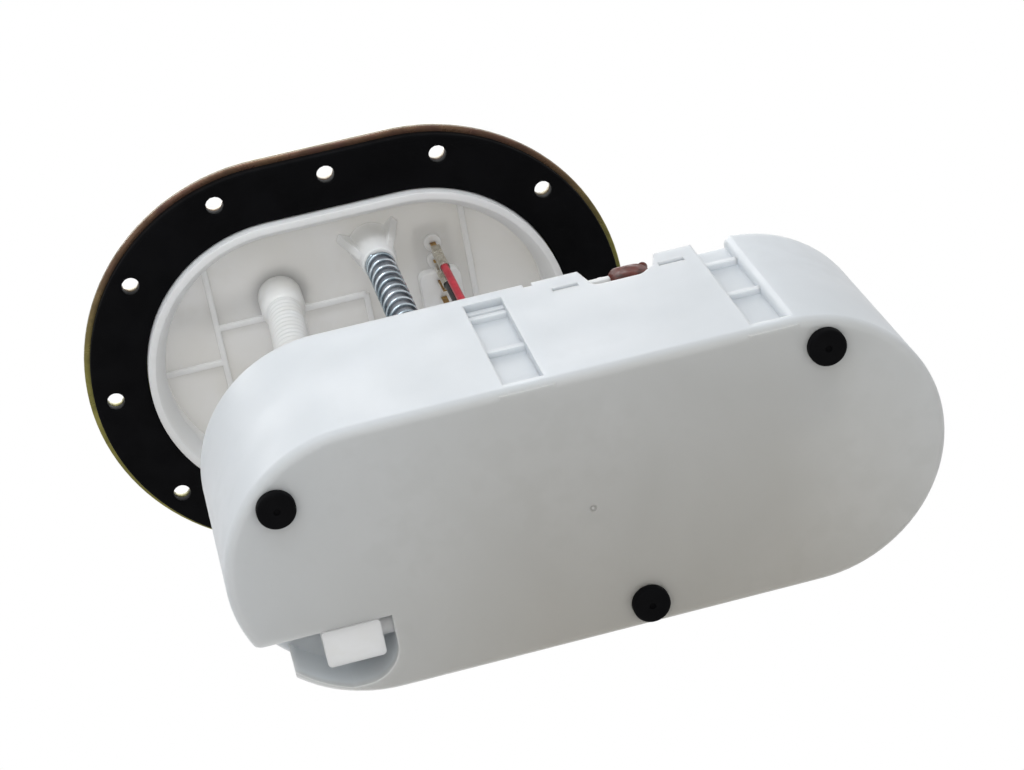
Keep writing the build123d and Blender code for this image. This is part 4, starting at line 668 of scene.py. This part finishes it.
def woven_finish():
    """Woven strainer mesh with darker gaps."""
    thread, gap = shades("mesh", "mesh_gap")
    material, tree, place, lines = start_material("strainer_weave")
    weave = place_group(tree, weave_group, {"Vector": lines, "Threads": 5200.0})
    grain = place_group(tree, grain_group, {
        "Vector": place, "Colour": thread, "Cloud Colour": lighter(gap, 0.4), "Cloud Scale": 60.0,
        "Smooth": 0.5, "Rough": 0.7,
    })
    body = mix_colours(tree, weave["Gap"], grain["Colour"], gap)
    look = {"Height": weave["Height"], "Roughness": grain["Roughness"]}
    return end_material(material, body, look, None, 0.8, 0.0001)


# ---------------------------------------------------------------- helpers for operators
def sizes():
    """The sizes kept with the scene."""
    return bpy.context.scene.pump_module_sizes


def shades(*names):
    """Colours kept with the scene, by name."""
    kept = bpy.context.scene.pump_module_colours
    return [tuple(getattr(kept, name)) for name in names]


@cache
def rubber_finish():
    """Matt black rubber."""
    return plastic("black_rubber", "rubber", "rubber_bloom", 0.55, 0.75, 45.0, 2200.0, 0.00003, 0.0003, 0.02,
                   specular=0.05)


@cache
def hose_finish():
    """Extruded nylon hose."""
    return plastic("hose_nylon", "hose", "hose_valley", 0.32, 0.5, 30.0, 1800.0, edge=0.0002, glow=0.3)


def finish_nodes(material, *names):
    """Gives CAD nodes a material."""
    for name in names:
        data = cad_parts[name].data
        data.materials.clear()
        data.materials.append(material)


def level(height):
    """Metres above the seating plane of a height in millimetres above the reservoir's underside."""
    return sizes().under + height * MM


class PumpOperator:
    """What the module's operators have in common."""

    bl_options = {"REGISTER", "UNDO"}


# ---------------------------------------------------------------- operators
LAMP_AIM = (0.02, 0.0, -0.08)
LAMPS = (  # name, place, size, watts and tint
    ("lamp_front", (-0.20, -0.90, -0.27), 0.6, 2.7, (0.82, 0.91, 1.0)),
    ("lamp_below", (-0.15, -0.40, -0.75), 0.6, 1.1, (1.0, 0.975, 0.92)),
    ("lamp_above", (-0.05, -0.15, 1.25), 1.0, 12.0, (1.0, 1.0, 1.0)),
    ("lamp_rear", (-0.3, 1.2, 0.35), 0.9, 4.0, (1.0, 1.0, 1.0)),
)
LID_LAMP_PLACE, LID_LAMP_AIM = (-0.03, -0.62, -0.30), (-0.005, -0.02, 0.008)
CAMERA_PLACE = (-0.062975, -0.393053, -0.874896)
SENSOR, LENS = 36.0, 91.40625  # millimetres
FLOOR_REACH, FLOOR_POINTS = 1.6, 64
WORLD_LIGHT = 0.54  # strength of the surroundings where they aren't looked at


class PUMP_OT_stage(PumpOperator, bpy.types.Operator):
    """Camera, white surroundings, pale floor and soft lamps"""

    bl_idname = "pump_module.stage"
    bl_label = "Stage"

    def execute(self, context):
        scene = context.scene
        scene.view_settings.view_transform = "Standard"
        self.add_camera(scene)
        self.add_world(scene)
        self.add_floor(scene)
        for name, place, size, power, tint in LAMPS:
            lamp = self.add_lamp(scene, name, "AREA", place, LAMP_AIM, power)
            lamp.size, lamp.color = size, tint
        lamp = self.add_lamp(scene, "lamp_lid", "SPOT", LID_LAMP_PLACE, LID_LAMP_AIM, 4.5)
        lamp.shadow_soft_size = 0.08
        lamp.spot_size, lamp.spot_blend = math.radians(14.0), 0.8
        return {"FINISHED"}

    def add_lamp(self, scene, name, kind, place, aim, power):
        """A lamp that looks from its place at a point and isn't seen itself. Gives its data."""
        data = bpy.data.lights.new(name, kind)
        data.energy = power
        lamp = bpy.data.objects.new(name, data)
        lamp.location = place
        lamp.rotation_euler = (Vector(aim) - Vector(place)).to_track_quat("-Z", "Y").to_euler()
        lamp.visible_camera = False
        scene.collection.objects.link(lamp)
        return data

    def add_camera(self, scene):
        """A long lens that looks up at the module's underside and front."""
        right = Vector((0.964758, 0.163225, -0.206395))
        upward = Vector((0.235287, -0.886300, 0.398889))
        back = Vector((-0.117819, -0.433394, -0.893470))
        data = bpy.data.cameras.new("camera")
        data.sensor_width, data.lens = SENSOR, LENS
        data.clip_start, data.clip_end = 0.05, 20.0
        camera = bpy.data.objects.new("camera", data)
        turn = Matrix((right, upward, back)).transposed().to_4x4()
        camera.matrix_world = Matrix.Translation(CAMERA_PLACE) @ turn
        scene.collection.objects.link(camera)
        scene.camera = camera

    def add_world(self, scene):
        """White where it is looked at or mirrored, and a plain grey light elsewhere."""
        world = bpy.data.worlds.new("surroundings")
        world.use_nodes = True
        tree = world.node_tree
        path = tree.nodes.new("ShaderNodeLightPath")
        seen = maths(tree, "MAXIMUM", path.outputs["Is Camera Ray"], path.outputs["Is Glossy Ray"])
        seen = maths(tree, "MAXIMUM", seen, path.outputs["Is Transmission Ray"])
        strength = spread(tree, seen, 0.0, 1.0, WORLD_LIGHT, 1.0)
        back = tree.nodes["Background"]
        back.inputs["Color"].default_value = (1.0, 1.0, 1.0, 1.0)
        tree.links.new(strength, back.inputs["Strength"])
        scene.world = world

    def add_floor(self, scene):
        """A pale floor at the feet, clear when it is looked at from below."""
        low = CAD_BOX[0][2]
        turn = full_turn(FLOOR_POINTS)[0]
        rim = stack(FLOOR_REACH * np.cos(turn), FLOOR_REACH * np.sin(turn), np.full(FLOOR_POINTS, low))
        mesh = bpy.data.meshes.new("floor")
        mesh.from_pydata(rim.tolist(), [], [list(range(FLOOR_POINTS))])
        material = bpy.data.materials.new("pale_floor")
        material.use_nodes = True
        tree = material.node_tree
        shader = tree.nodes["Principled BSDF"]
        place = tree.nodes.new("ShaderNodeTexCoord").outputs["Object"]
        cloud = spread(tree, noise(tree, place, 6.0), 0.3, 0.7)
        body = mix_colours(tree, cloud, (0.80, 0.80, 0.80, 1.0), (0.83, 0.83, 0.83, 1.0))
        tree.links.new(body, shader.inputs["Base Color"])
        shader.inputs["Roughness"].default_value = 0.9
        clear = tree.nodes.new("ShaderNodeBsdfTransparent")
        facing = tree.nodes.new("ShaderNodeNewGeometry")
        joined = add_node(tree, "ShaderNodeMixShader", {
            0: facing.outputs["Backfacing"], 1: shader.outputs[0], 2: clear.outputs[0],
        })
        tree.links.new(joined.outputs[0], tree.nodes["Material Output"].inputs["Surface"])
        mesh.materials.append(material)
        floor = bpy.data.objects.new("floor", mesh)
        scene.collection.objects.link(floor)
        floor.visible_diffuse = floor.visible_glossy = floor.visible_transmission = False
        floor.visible_shadow = False


class PUMP_OT_mouldings(PumpOperator, bpy.types.Operator):
    """Finishes of the pale mouldings: reservoir, lid, cover, outlet and jet pump"""

    bl_idname = "pump_module.mouldings"
    bl_label = "Pale mouldings"

    def execute(self, context):
        # The acetal's tint is painted shade on the reservoir's underside.
        acetal = plastic("grey_white_acetal", "acetal", "acetal_flow", 0.36, 0.52, 14.0, 1400.0, edge=0.0008,
                         edge_light=0.3, glow=1.0, tint="acetal_underside_shade", mask=underside_shade_mask)
        finish_nodes(acetal, "reservoir")
        # The nylon's tint is painted shade on the lid's floor between the ribs.
        nylon = plastic("white_nylon", "nylon", "nylon_flow", 0.4, 0.58, 18.0, 1300.0, edge=0.0007,
                        glow=0.8, glow_depth=6.5, tint="nylon_floor_shade", mask=lid_floor_shade_mask)
        finish_nodes(nylon, "lid", "reservoir_cover", "outlet_fitting", "strainer_collar", "jet_pump_body")
        return {"FINISHED"}


class PUMP_OT_metals(PumpOperator, bpy.types.Operator):
    """Finishes of the rods, clips, pins, terminals, can and regulator"""

    bl_idname = "pump_module.metals"
    bl_label = "Metal parts"

    def execute(self, context):
        finish_nodes(zinc_finish(), "regulator")
        steel = metal("ground_steel", "steel", "steel_dull", 0.3, 0.5, (1, 1, 0.04), metallic=0.35)
        finish_nodes(steel, "guide_rod_front", "guide_rod_rear", "rod_clips", "rotor_shaft")
        finish_nodes(metal("drawn_can", "steel", "steel_dull", 0.22, 0.4, (1, 1, 0.08), 40.0, 900.0), "pump_can")
        clip = metal("spring_clips", "spring", "spring_dull", 0.25, 0.45, (1, 1, 1), 90.0, 1200.0)
        finish_nodes(clip, "regulator_clip", "link_clamps")
        brass = metal("pin_brass", "brass", "brass_dull", 0.22, 0.42, (1, 1, 0.1), 200.0)
        finish_nodes(brass, "connector_pins", "pump_terminals")
        tinned = metal("tinned_brass", "tinned", "tinned_dull", 0.2, 0.38, (1, 1, 0.2), 260.0)
        finish_nodes(tinned, "wire_terminals")
        return {"FINISHED"}


class PUMP_OT_motor(PumpOperator, bpy.types.Operator):
    """Finishes of the pump's inner parts and the dark mouldings"""

    bl_idname = "pump_module.motor"
    bl_label = "Motor and dark mouldings"

    def execute(self, context):
        dark = plastic("dark_plastic", "dark", "dark_flow", 0.34, 0.55, 30.0, 1500.0, edge_light=0.08)
        finish_nodes(dark, "pump_inlet_cap", "pump_end_cap", "pump_chamber", "rotor_impeller", "filter_canister",
                     "filter_head", "jet_pump_nozzle")
        bronze = metal("sintered_bronze", "bronze", "bronze_dark", 0.4, 0.6, (1, 1, 1), 700.0, 2600.0, 0.00003)
        finish_nodes(bronze, "pump_bearings")
        finish_nodes(plastic("ferrite", "ferrite", "carbon", 0.5, 0.7, 160.0, 2400.0, 0.00003), "pump_magnets")
        finish_nodes(plastic("carbon", "carbon", "rubber", 0.4, 0.6, 300.0, 3000.0), "pump_brushes")
        copper = metal("copper", "copper", "copper_dark", 0.2, 0.45, (0.1, 0.1, 1), 120.0, 2600.0)
        finish_nodes(copper, "rotor_commutator")
        iron = metal("lamination_steel", "iron", "dark", 0.35, 0.55, (0.02, 0.02, 1), 80.0, 1600.0, 0.00006)
        finish_nodes(iron, "rotor_armature")
        return {"FINISHED"}


class PUMP_OT_lid_hose(PumpOperator, bpy.types.Operator):
    """The ringed outlet hose with its smooth cuff under the lid"""

    bl_idname = "pump_module.lid_hose"
    bl_label = "Outlet hose"

    def execute(self, context):
        s = sizes()
        controls = [(-25, -20.5, 12.5), (-25, -20.5, -5.5), (-28.2, -18.9, -66.25), (-26.6, -17.3, -138.3),
                    (-11.6, 4, -145), (13.4, 4, -145)]
        path, along = read_route(controls, s.ring_pitch / 8)
        outer = self.outline(along, s)
        inner = np.full(len(along), s.hose_bore)
        shape = hose_surface(path, outer, inner, (0.5, -0.8, 0.2), 36)
        piece = make_piece("outlet_hose", [shape], hose_finish(), "hose_nylon", ["lid_hose"], 80)
        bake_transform(piece)
        return {"FINISHED"}

    def outline(self, along, s):
        """Radius along the hose: the cuff, its round end, then rings as a cosine flattened at its crests."""
        wave = 0.5 + 0.5 * np.cos(2 * math.pi * (along - s.cuff_length) / s.ring_pitch)
        ringed = s.hose_radius - s.ring_depth * (1 - wave**0.7)
        past = np.clip(along - (s.cuff_length - s.cuff_round), 0, s.cuff_round) / s.cuff_round
        cuff = s.cuff_radius - s.cuff_round * 0.45 * (1 - np.sqrt(1 - past**2))
        return np.where(along < s.cuff_length, cuff, ringed)


class PUMP_OT_inner_hoses(PumpOperator, bpy.types.Operator):
    """The short hose from the pump to the filter and the return hose"""

    bl_idname = "pump_module.inner_hoses"
    bl_label = "Inner hoses"

    def execute(self, context):
        s = sizes()
        runs = (
            ("pump_to_filter_hose", "pump_link", s.link_radius, s.link_bore, (7.0, 28.0, 0.0),
             [(84, -11, -89), (84, -11, -65), (56, -4, -65), (56, -4, -95)]),
            ("return_line", "return_hose", s.return_radius, s.return_bore, (0.1, 1.0, 0.1),
             [(23.8, 12, -92.5), (-9.2, 12, -92.5), (-33.5, 26.3, -108), (-33.5, 26.3, -140.75)]),
        )
        for name, node, outer, inner, reference, controls in runs:
            path, along = read_route(controls, 0.0012)
            ends = np.clip(np.minimum(along, along[-1] - along) / 0.0005, 0, 1)
            radii = outer - 0.0005 * (1 - np.sqrt(1 - (1 - ends) ** 2))
            shape = hose_surface(path, radii, np.full(len(along), inner), reference, 36)
            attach(make_piece(name, [shape], hose_finish(), "hose_nylon", [node], 60), "reservoir")
        return {"FINISHED"}


class PUMP_OT_springs(PumpOperator, bpy.types.Operator):
    """The two compression springs on the guide rods"""

    bl_idname = "pump_module.springs"
    bl_label = "Springs"

    def execute(self, context):
        s = sizes()
        wire = metal("spring_wire", "spring", "spring_dull", 0.16, 0.32, (1, 1, 1), 110.0, 1500.0)
        for node, side in (("spring_front", -1), ("spring_rear", 1)):
            path = self.coil(s, side)
            shape = wire_surface(path, s.spring_wire, (0, 0, 1), 12)
            piece = make_piece("coil_" + node, [shape], wire, "spring_steel", [node], 70)
            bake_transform(piece)
        return {"FINISHED"}

    def coil(self, s, side):
        """A helix whose height rises by a wire's thickness a turn at its closed ends and evenly between them."""
        turns = np.linspace(0, s.spring_turns, int(s.spring_turns * 40) + 1)
        closed, pitch = s.spring_closed, s.spring_wire * 2.05
        rise = s.spring_high - s.spring_low - 2 * closed * pitch
        middle = np.clip((turns - closed) / (s.spring_turns - 2 * closed), 0, 1)
        ends = np.clip(turns, 0, closed) + np.clip(turns - s.spring_turns + closed, 0, closed)
        height = s.spring_low + pitch * ends + rise * middle
        angle = 2 * math.pi * turns
        x = s.rod_x + s.spring_radius * np.cos(angle)
        y = side * s.rod_y + s.spring_radius * np.sin(angle)
        return stack(x, y, height)


class PUMP_OT_leads(PumpOperator, bpy.types.Operator):
    """The red and the black lead from the lid's terminals to the pump's plug"""

    bl_idname = "pump_module.leads"
    bl_label = "Leads"

    def execute(self, context):
        s = sizes()
        red = plastic("red_insulation", "red", "red_dark", 0.28, 0.42, 120.0, 2600.0, edge=0.0001)
        black = plastic("black_insulation", "black", "rubber_bloom", 0.3, 0.45, 120.0, 2600.0,
                        edge=0.0001, edge_light=0.05)
        runs = (
            ("red_lead", "lead_red", red, "red_insulation",
             [(34.4, -27.4, -7.5), (34.4, -27.4, -49), (34.4, -27.4, -70), (50, -26, -84),
              (67.7, -24.6, -87), (83.3, -24.6, -87), (83.3, -36.5, -87)]),
            ("black_lead", "lead_black", black, "black_insulation",
             [(34.4, -20.4, -7.5), (34.4, -20.4, -49), (34.4, -20.4, -70), (50, -20.5, -84),
              (74.1, -20.6, -87), (89.7, -20.6, -87), (89.7, -36.5, -87)]),
        )
        for name, node, material, slot, controls in runs:
            path = read_route(controls, 0.0008)[0]
            shape = wire_surface(path, s.wire_radius, (0.1, 1.0, 0.15), 20)
            piece = make_piece(name, [shape], material, slot, [node], 80)
            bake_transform(piece)
        return {"FINISHED"}


class PUMP_OT_plate(PumpOperator, bpy.types.Operator):
    """The pressed zinc plate with its rounded, seamed rim"""

    bl_idname = "pump_module.plate"
    bl_label = "Flange plate"

    def execute(self, context):
        s = sizes()
        low, top = s.gasket_thick, s.gasket_thick + s.plate_thick
        outer, inner = s.plate_outer, s.plate_inner
        edge = soft_profile([
            (outer - 1.4 * MM, low), (outer, low), (outer, low + 1.0 * MM), (outer - 0.3 * MM, low + 1.2 * MM),
            (outer, low + 1.4 * MM), (outer, top), (outer - 1.6 * MM, top),
        ], np.array([0, 0.45, 0.1, 0.05, 0.1, 0.7, 0]) * MM)
        mouth = soft_profile([(inner + 0.6 * MM, low), (inner, low), (inner, top), (inner + 0.6 * MM, top)],
                             np.array([0, 0.25, 0.25, 0]) * MM)
        inset, rise = mesh_levels(s.plate_thick, 0.25 * MM)
        hole = stack(s.bolt_hole + inset, low + rise)
        piece = make_piece("zinc_plate", bolted_ring(s, mouth, edge, hole), zinc_finish(), "zinc_plate",
                           ["flange_plate"], 50)
        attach(piece, "flange")
        return {"FINISHED"}


class PUMP_OT_gasket(PumpOperator, bpy.types.Operator):
    """The rubber gasket with rounded edges round its outline and its bolt holes"""

    bl_idname = "pump_module.gasket"
    bl_label = "Gasket"

    def execute(self, context):
        s = sizes()
        inset, rise = mesh_levels(s.gasket_thick, s.gasket_round)
        inner, outer, hole = (
            stack(reach, rise)
            for reach in (s.gasket_inner + inset, s.gasket_outer - inset, s.bolt_hole + inset)
        )
        piece = make_piece("gasket", bolted_ring(s, inner, outer, hole), rubber_finish(), "black_rubber",
                           ["flange_gasket"], 50)
        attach(piece, "flange")
        return {"FINISHED"}


FOOT_PLACES = ((-47.9, -27.3), (130.0, -36.5), (62.0, 38.0))  # millimetres


class PUMP_OT_feet(PumpOperator, bpy.types.Operator):
    """The three rubber button feet"""

    bl_idname = "pump_module.feet"
    bl_label = "Feet"

    def execute(self, context):
        s = sizes()
        r, low, top = s.foot_radius, s.under - s.foot_tall, s.under
        corners = [
            (0, low + 0.8 * MM), (1.1 * MM, low + 0.8 * MM), (1.1 * MM, low), (r, low), (r, top),
            (2 * MM, top), (2 * MM, level(2.5)), (3.4 * MM, level(2.5)), (3.4 * MM, level(4.5)), (0, level(4.5)),
        ]
        rounding = np.array([0, 0.2, 0.3, 1.2, 0.4, 0.1, 0.1, 0.1, 0.5, 0]) * MM
        profile = soft_profile(corners, rounding, 6)
        shapes = [revolve(profile, x * MM, y * MM) for x, y in FOOT_PLACES]
        piece = make_piece("button_feet", shapes, rubber_finish(), "black_rubber", ["rubber_feet"], 50)
        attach(piece, "reservoir")
        return {"FINISHED"}


SLEEVE_WALL, SLEEVE_RIB, SLEEVE_RIBS = 1.8 * MM, 0.35 * MM, 5


class PUMP_OT_isolator(PumpOperator, bpy.types.Operator):
    """The ribbed rubber sleeve between the pump and the cover"""

    bl_idname = "pump_module.isolator"
    bl_label = "Isolator"

    def execute(self, context):
        low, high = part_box("pump_isolator")
        x, y = middle_of(low, high)
        outer = (high.x - low.x) / 2
        heights = np.linspace(low.z, high.z, 121)
        wave = np.cos(2 * math.pi * SLEEVE_RIBS * (heights - low.z) / (high.z - low.z))
        outside = stack(outer - SLEEVE_RIB * (1 - wave), heights)
        inside = stack(np.full(2, outer - SLEEVE_WALL), heights[[-1, 0]])
        shape = revolve(np.concatenate([outside, inside]), x, y, 64, closed=True)
        piece = make_piece("pump_sleeve", [shape], rubber_finish(), "black_rubber", ["pump_isolator"], 50)
        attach(piece, "reservoir")
        return {"FINISHED"}


class PUMP_OT_strainer(PumpOperator, bpy.types.Operator):
    """The woven strainer bag with its welded seam"""

    bl_idname = "pump_module.strainer"
    bl_label = "Strainer bag"

    def execute(self, context):
        low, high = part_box("strainer_sock")
        half = (high - low) / 2
        centre = (high + low) / 2
        share = np.concatenate([np.linspace(0, 1, 40), np.linspace(1, 0, 40)[1:]])
        side = np.where(np.arange(79) < 40, -1.0, 1.0)
        side[39] = 0.0
        fall = np.clip((share - 0.78) / 0.15, 0, 1)
        swell = 0.14 + 0.86 * (1 - fall**2 * (3 - 2 * fall))
        turn = full_turn(96)
        power = 2 / 3.2
        x = np.sign(np.cos(turn)) * np.abs(np.cos(turn)) ** power
        y = np.sign(np.sin(turn)) * np.abs(np.sin(turn)) ** power
        reach = share[:, None]
        points = np.stack([
            centre.x + half.x * reach * x, centre.y + half.y * reach * y,
            centre.z + half.z * (side * swell)[:, None] + 0 * x,
        ], axis=-1)
        piece = make_piece("strainer_bag", [surface(points)], woven_finish(), "strainer_mesh",
                           ["strainer_sock"], 60)
        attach(piece, "reservoir")
        return {"FINISHED"}


PLUG_HALF = (7.25 * MM, 4.75 * MM, 7.75 * MM)
PLUG_LEVEL, EAR_PLACES = 76.75, (89.0, 93.0)  # millimetres, as are the next
SEAL_BACK, SEAL_FRONT, SEAL_BORE, SEAL_LEVEL, SEAL_SIDE = -36.5, -31.6, 1.55, 78.0, 3.2


class PUMP_OT_plug(PumpOperator, bpy.types.Operator):
    """The brown plug on the pump's terminals, with its two wire seals"""

    bl_idname = "pump_module.plug"
    bl_label = "Plug"

    def execute(self, context):
        s = sizes()
        material = plastic("brown_plug", "plug", "plug_dark", 0.42, 0.6, 210.0, 700.0, 0.0001,
                           edge=0.0004, edge_light=0.06, specular=0.2)
        stubs = [revolve(self.stub(), x * MM, s.plug_y, 32) for x in EAR_PLACES]
        seals = [self.seal(s, side) for side in (-1, 1)]
        shapes = [self.body(s)] + stubs + seals
        piece = make_piece("pump_plug_body", shapes, material, "brown_plastic", ["pump_plug"], 60)
        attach(piece, "reservoir")
        return {"FINISHED"}

    def body(self, s):
        """A box-like ball: cosines and sines raised to a power below one, swollen by three crossing waves."""
        rise = np.linspace(-math.pi / 2, math.pi / 2, 65)[:, None]
        turn = full_turn(128)
        power = 0.62

        def blunt(value):
            return np.sign(value) * np.abs(value) ** power

        flat = blunt(np.clip(np.cos(rise), 0, 1))
        x = flat * blunt(np.cos(turn))
        y = flat * blunt(np.sin(turn))
        z = blunt(np.sin(rise)) + 0 * turn
        waves = np.sin(5.2 * x + 1.3) * np.cos(3.1 * z - 0.6) + 0.5 * np.sin(8.3 * z + 4.1 * x) * np.cos(6.0 * y)
        swell = 0.955 + 0.03 * waves
        dome = 1 - 0.30 * np.clip(z, 0, 1) * (0.5 + 0.5 * np.sin(2.2 * x + 0.4)) ** 0.5
        wide, deep, tall = PLUG_HALF
        x = s.plug_x + wide * x * swell
        y = s.plug_y + deep * y * swell
        z = level(PLUG_LEVEL) + tall * z * swell * dome
        return surface(stack(x, y, z))

    def stub(self):
        """Radius and height of a closed stub: a ball on a short neck."""
        heights = np.linspace(78.0, 87.1, 40)
        neck = 1.35 + 0.5 * np.exp(-(((heights - 85.4) / 1.1) ** 2))
        cap = np.sqrt(np.clip(1 - np.clip((heights - 85.4) / 1.7, 0, 1) ** 2, 0, 1))
        radii = neck * cap
        radii[[0, -1]] = 0.0
        return stack(radii, heights) * MM + np.array([0.0, sizes().under])

    def seal(self, s, side):
        """A wire seal with two soft ribs, turned round the level line where a lead enters the plug's back."""
        along = np.linspace(SEAL_BACK, SEAL_FRONT, 40)
        ribs = 2.15 + 0.25 * np.cos(2 * math.pi * (along + 31.9) / 1.5)
        profile = stack(ribs, along)
        profile = np.concatenate([[[SEAL_BORE, SEAL_BACK]], profile, [[SEAL_BORE, SEAL_FRONT]]]) * MM
        turn = full_turn(32)
        r, y = profile[:, :1], profile[:, 1:]
        x = s.plug_x + side * SEAL_SIDE * MM + r * np.cos(turn)
        return surface(stack(x, y + 0 * turn, level(SEAL_LEVEL) + r * np.sin(turn)), wrap_rows=True)


class PUMP_OT_rings(PumpOperator, bpy.types.Operator):
    """The O-rings of the outlet and the regulator"""

    bl_idname = "pump_module.rings"
    bl_label = "O-rings"

    def execute(self, context):
        for node, body in (("outlet_o_ring", "flange"), ("regulator_o_ring", "reservoir")):
            low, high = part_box(node)
            section = (high.z - low.z) / 2
            path = (high.x - low.x) / 2 - section
            turn = full_turn(24)[0]
            flash = section * (1 - 0.03 + 0.03 * np.exp(-((np.sin(turn) / 0.12) ** 2)))
            profile = stack(path + flash * np.cos(turn), (low.z + high.z) / 2 + flash * np.sin(turn))
            shape = revolve(profile, *middle_of(low, high), 64, closed=True)
            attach(make_piece(node + "_rubber", [shape], rubber_finish(), "black_rubber", [node], 60), body)
        return {"FINISHED"}


PLEATS = 28
PLEAT_FOOT, PLEAT_DEEP, PLEAT_CORE = 14.1, 7.3, 12.6  # millimetres


class PUMP_OT_element(PumpOperator, bpy.types.Operator):
    """The pleated paper of the filter"""

    bl_idname = "pump_module.element"
    bl_label = "Filter element"

    def execute(self, context):
        low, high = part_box("filter_element")
        turn = full_turn(PLEATS * 12)
        fold = np.arccos(0.985 * np.cos(PLEATS * turn)) / math.pi
        outer = (PLEAT_FOOT + PLEAT_DEEP * fold) * MM
        inner = np.full_like(turn, PLEAT_CORE * MM)
        radii = np.concatenate([outer, outer, inner, inner])
        heights = np.array([low.z, high.z, high.z, low.z])[:, None] + 0 * turn
        x, y = middle_of(low, high)
        points = stack(x + radii * np.cos(turn), y + radii * np.sin(turn), heights)
        paper = plastic("pleated_paper", "paper", "paper_dark", 0.7, 0.9, 200.0, 1500.0, 0.00005,
                        edge=0.0001, edge_light=0.1)
        piece = make_piece("filter_pleats", [surface(points, wrap_rows=True)], paper, "filter_paper",
                           ["filter_element"], 50)
        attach(piece, "reservoir")
        return {"FINISHED"}


class PUMP_OT_valve(PumpOperator, bpy.types.Operator):
    """The rubber umbrella valve of the inlet channel"""

    bl_idname = "pump_module.valve"
    bl_label = "Inlet valve"

    def execute(self, context):
        low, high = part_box("inlet_valve")
        x, y = middle_of(low, high)
        r = (high.x - low.x) / 2
        roof = high.z - 1.2 * MM
        corners = [
            (0, low.z), (1.9 * MM, low.z), (1.9 * MM, low.z + 1.2 * MM), (1.4 * MM, low.z + 1.2 * MM),
            (1.4 * MM, roof), (r, roof), (r, roof + 0.5 * MM), (2.2 * MM, high.z), (0, high.z),
        ]
        rounding = np.array([0, 0.3, 0.2, 0.1, 0.3, 0.15, 0.2, 0.8, 0]) * MM
        shape = revolve(soft_profile(corners, rounding, 6), x, y, 48)
        piece = make_piece("umbrella_valve", [shape], rubber_finish(), "black_rubber", ["inlet_valve"], 50)
        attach(piece, "inlet_valve")
        return {"FINISHED"}


class PUMP_PT_panel(bpy.types.Panel):
    """Lists the module's operators."""

    bl_label = "Pump module"
    bl_idname = "PUMP_PT_panel"
    bl_space_type = "VIEW_3D"
    bl_region_type = "UI"
    bl_category = "Pump module"

    def draw(self, context):
        for operator in OPERATORS:
            self.layout.operator(operator.bl_idname)


OPERATORS = (
    PUMP_OT_stage, PUMP_OT_mouldings, PUMP_OT_metals, PUMP_OT_motor, PUMP_OT_lid_hose, PUMP_OT_inner_hoses,
    PUMP_OT_springs, PUMP_OT_leads, PUMP_OT_plate, PUMP_OT_gasket, PUMP_OT_feet, PUMP_OT_isolator,
    PUMP_OT_strainer, PUMP_OT_plug, PUMP_OT_rings, PUMP_OT_element, PUMP_OT_valve,
)
CLASSES = (PumpModuleSizes, PumpModuleColours, *OPERATORS, PUMP_PT_panel)


def register():
    """Registers the classes and hangs the settings on the scene."""
    for made in CLASSES:
        bpy.utils.register_class(made)
    bpy.types.Scene.pump_module_sizes = PointerProperty(type=PumpModuleSizes)
    bpy.types.Scene.pump_module_colours = PointerProperty(type=PumpModuleColours)


def unregister():
    """Takes everything back out."""
    del bpy.types.Scene.pump_module_colours
    del bpy.types.Scene.pump_module_sizes
    for made in reversed(CLASSES):
        bpy.utils.unregister_class(made)


def main():
    """Makes the whole module."""
    register()
    for operator in OPERATORS:
        group, name = operator.bl_idname.split(".")
        getattr(getattr(bpy.ops, group), name)()


if __name__ == "__main__":
    main()
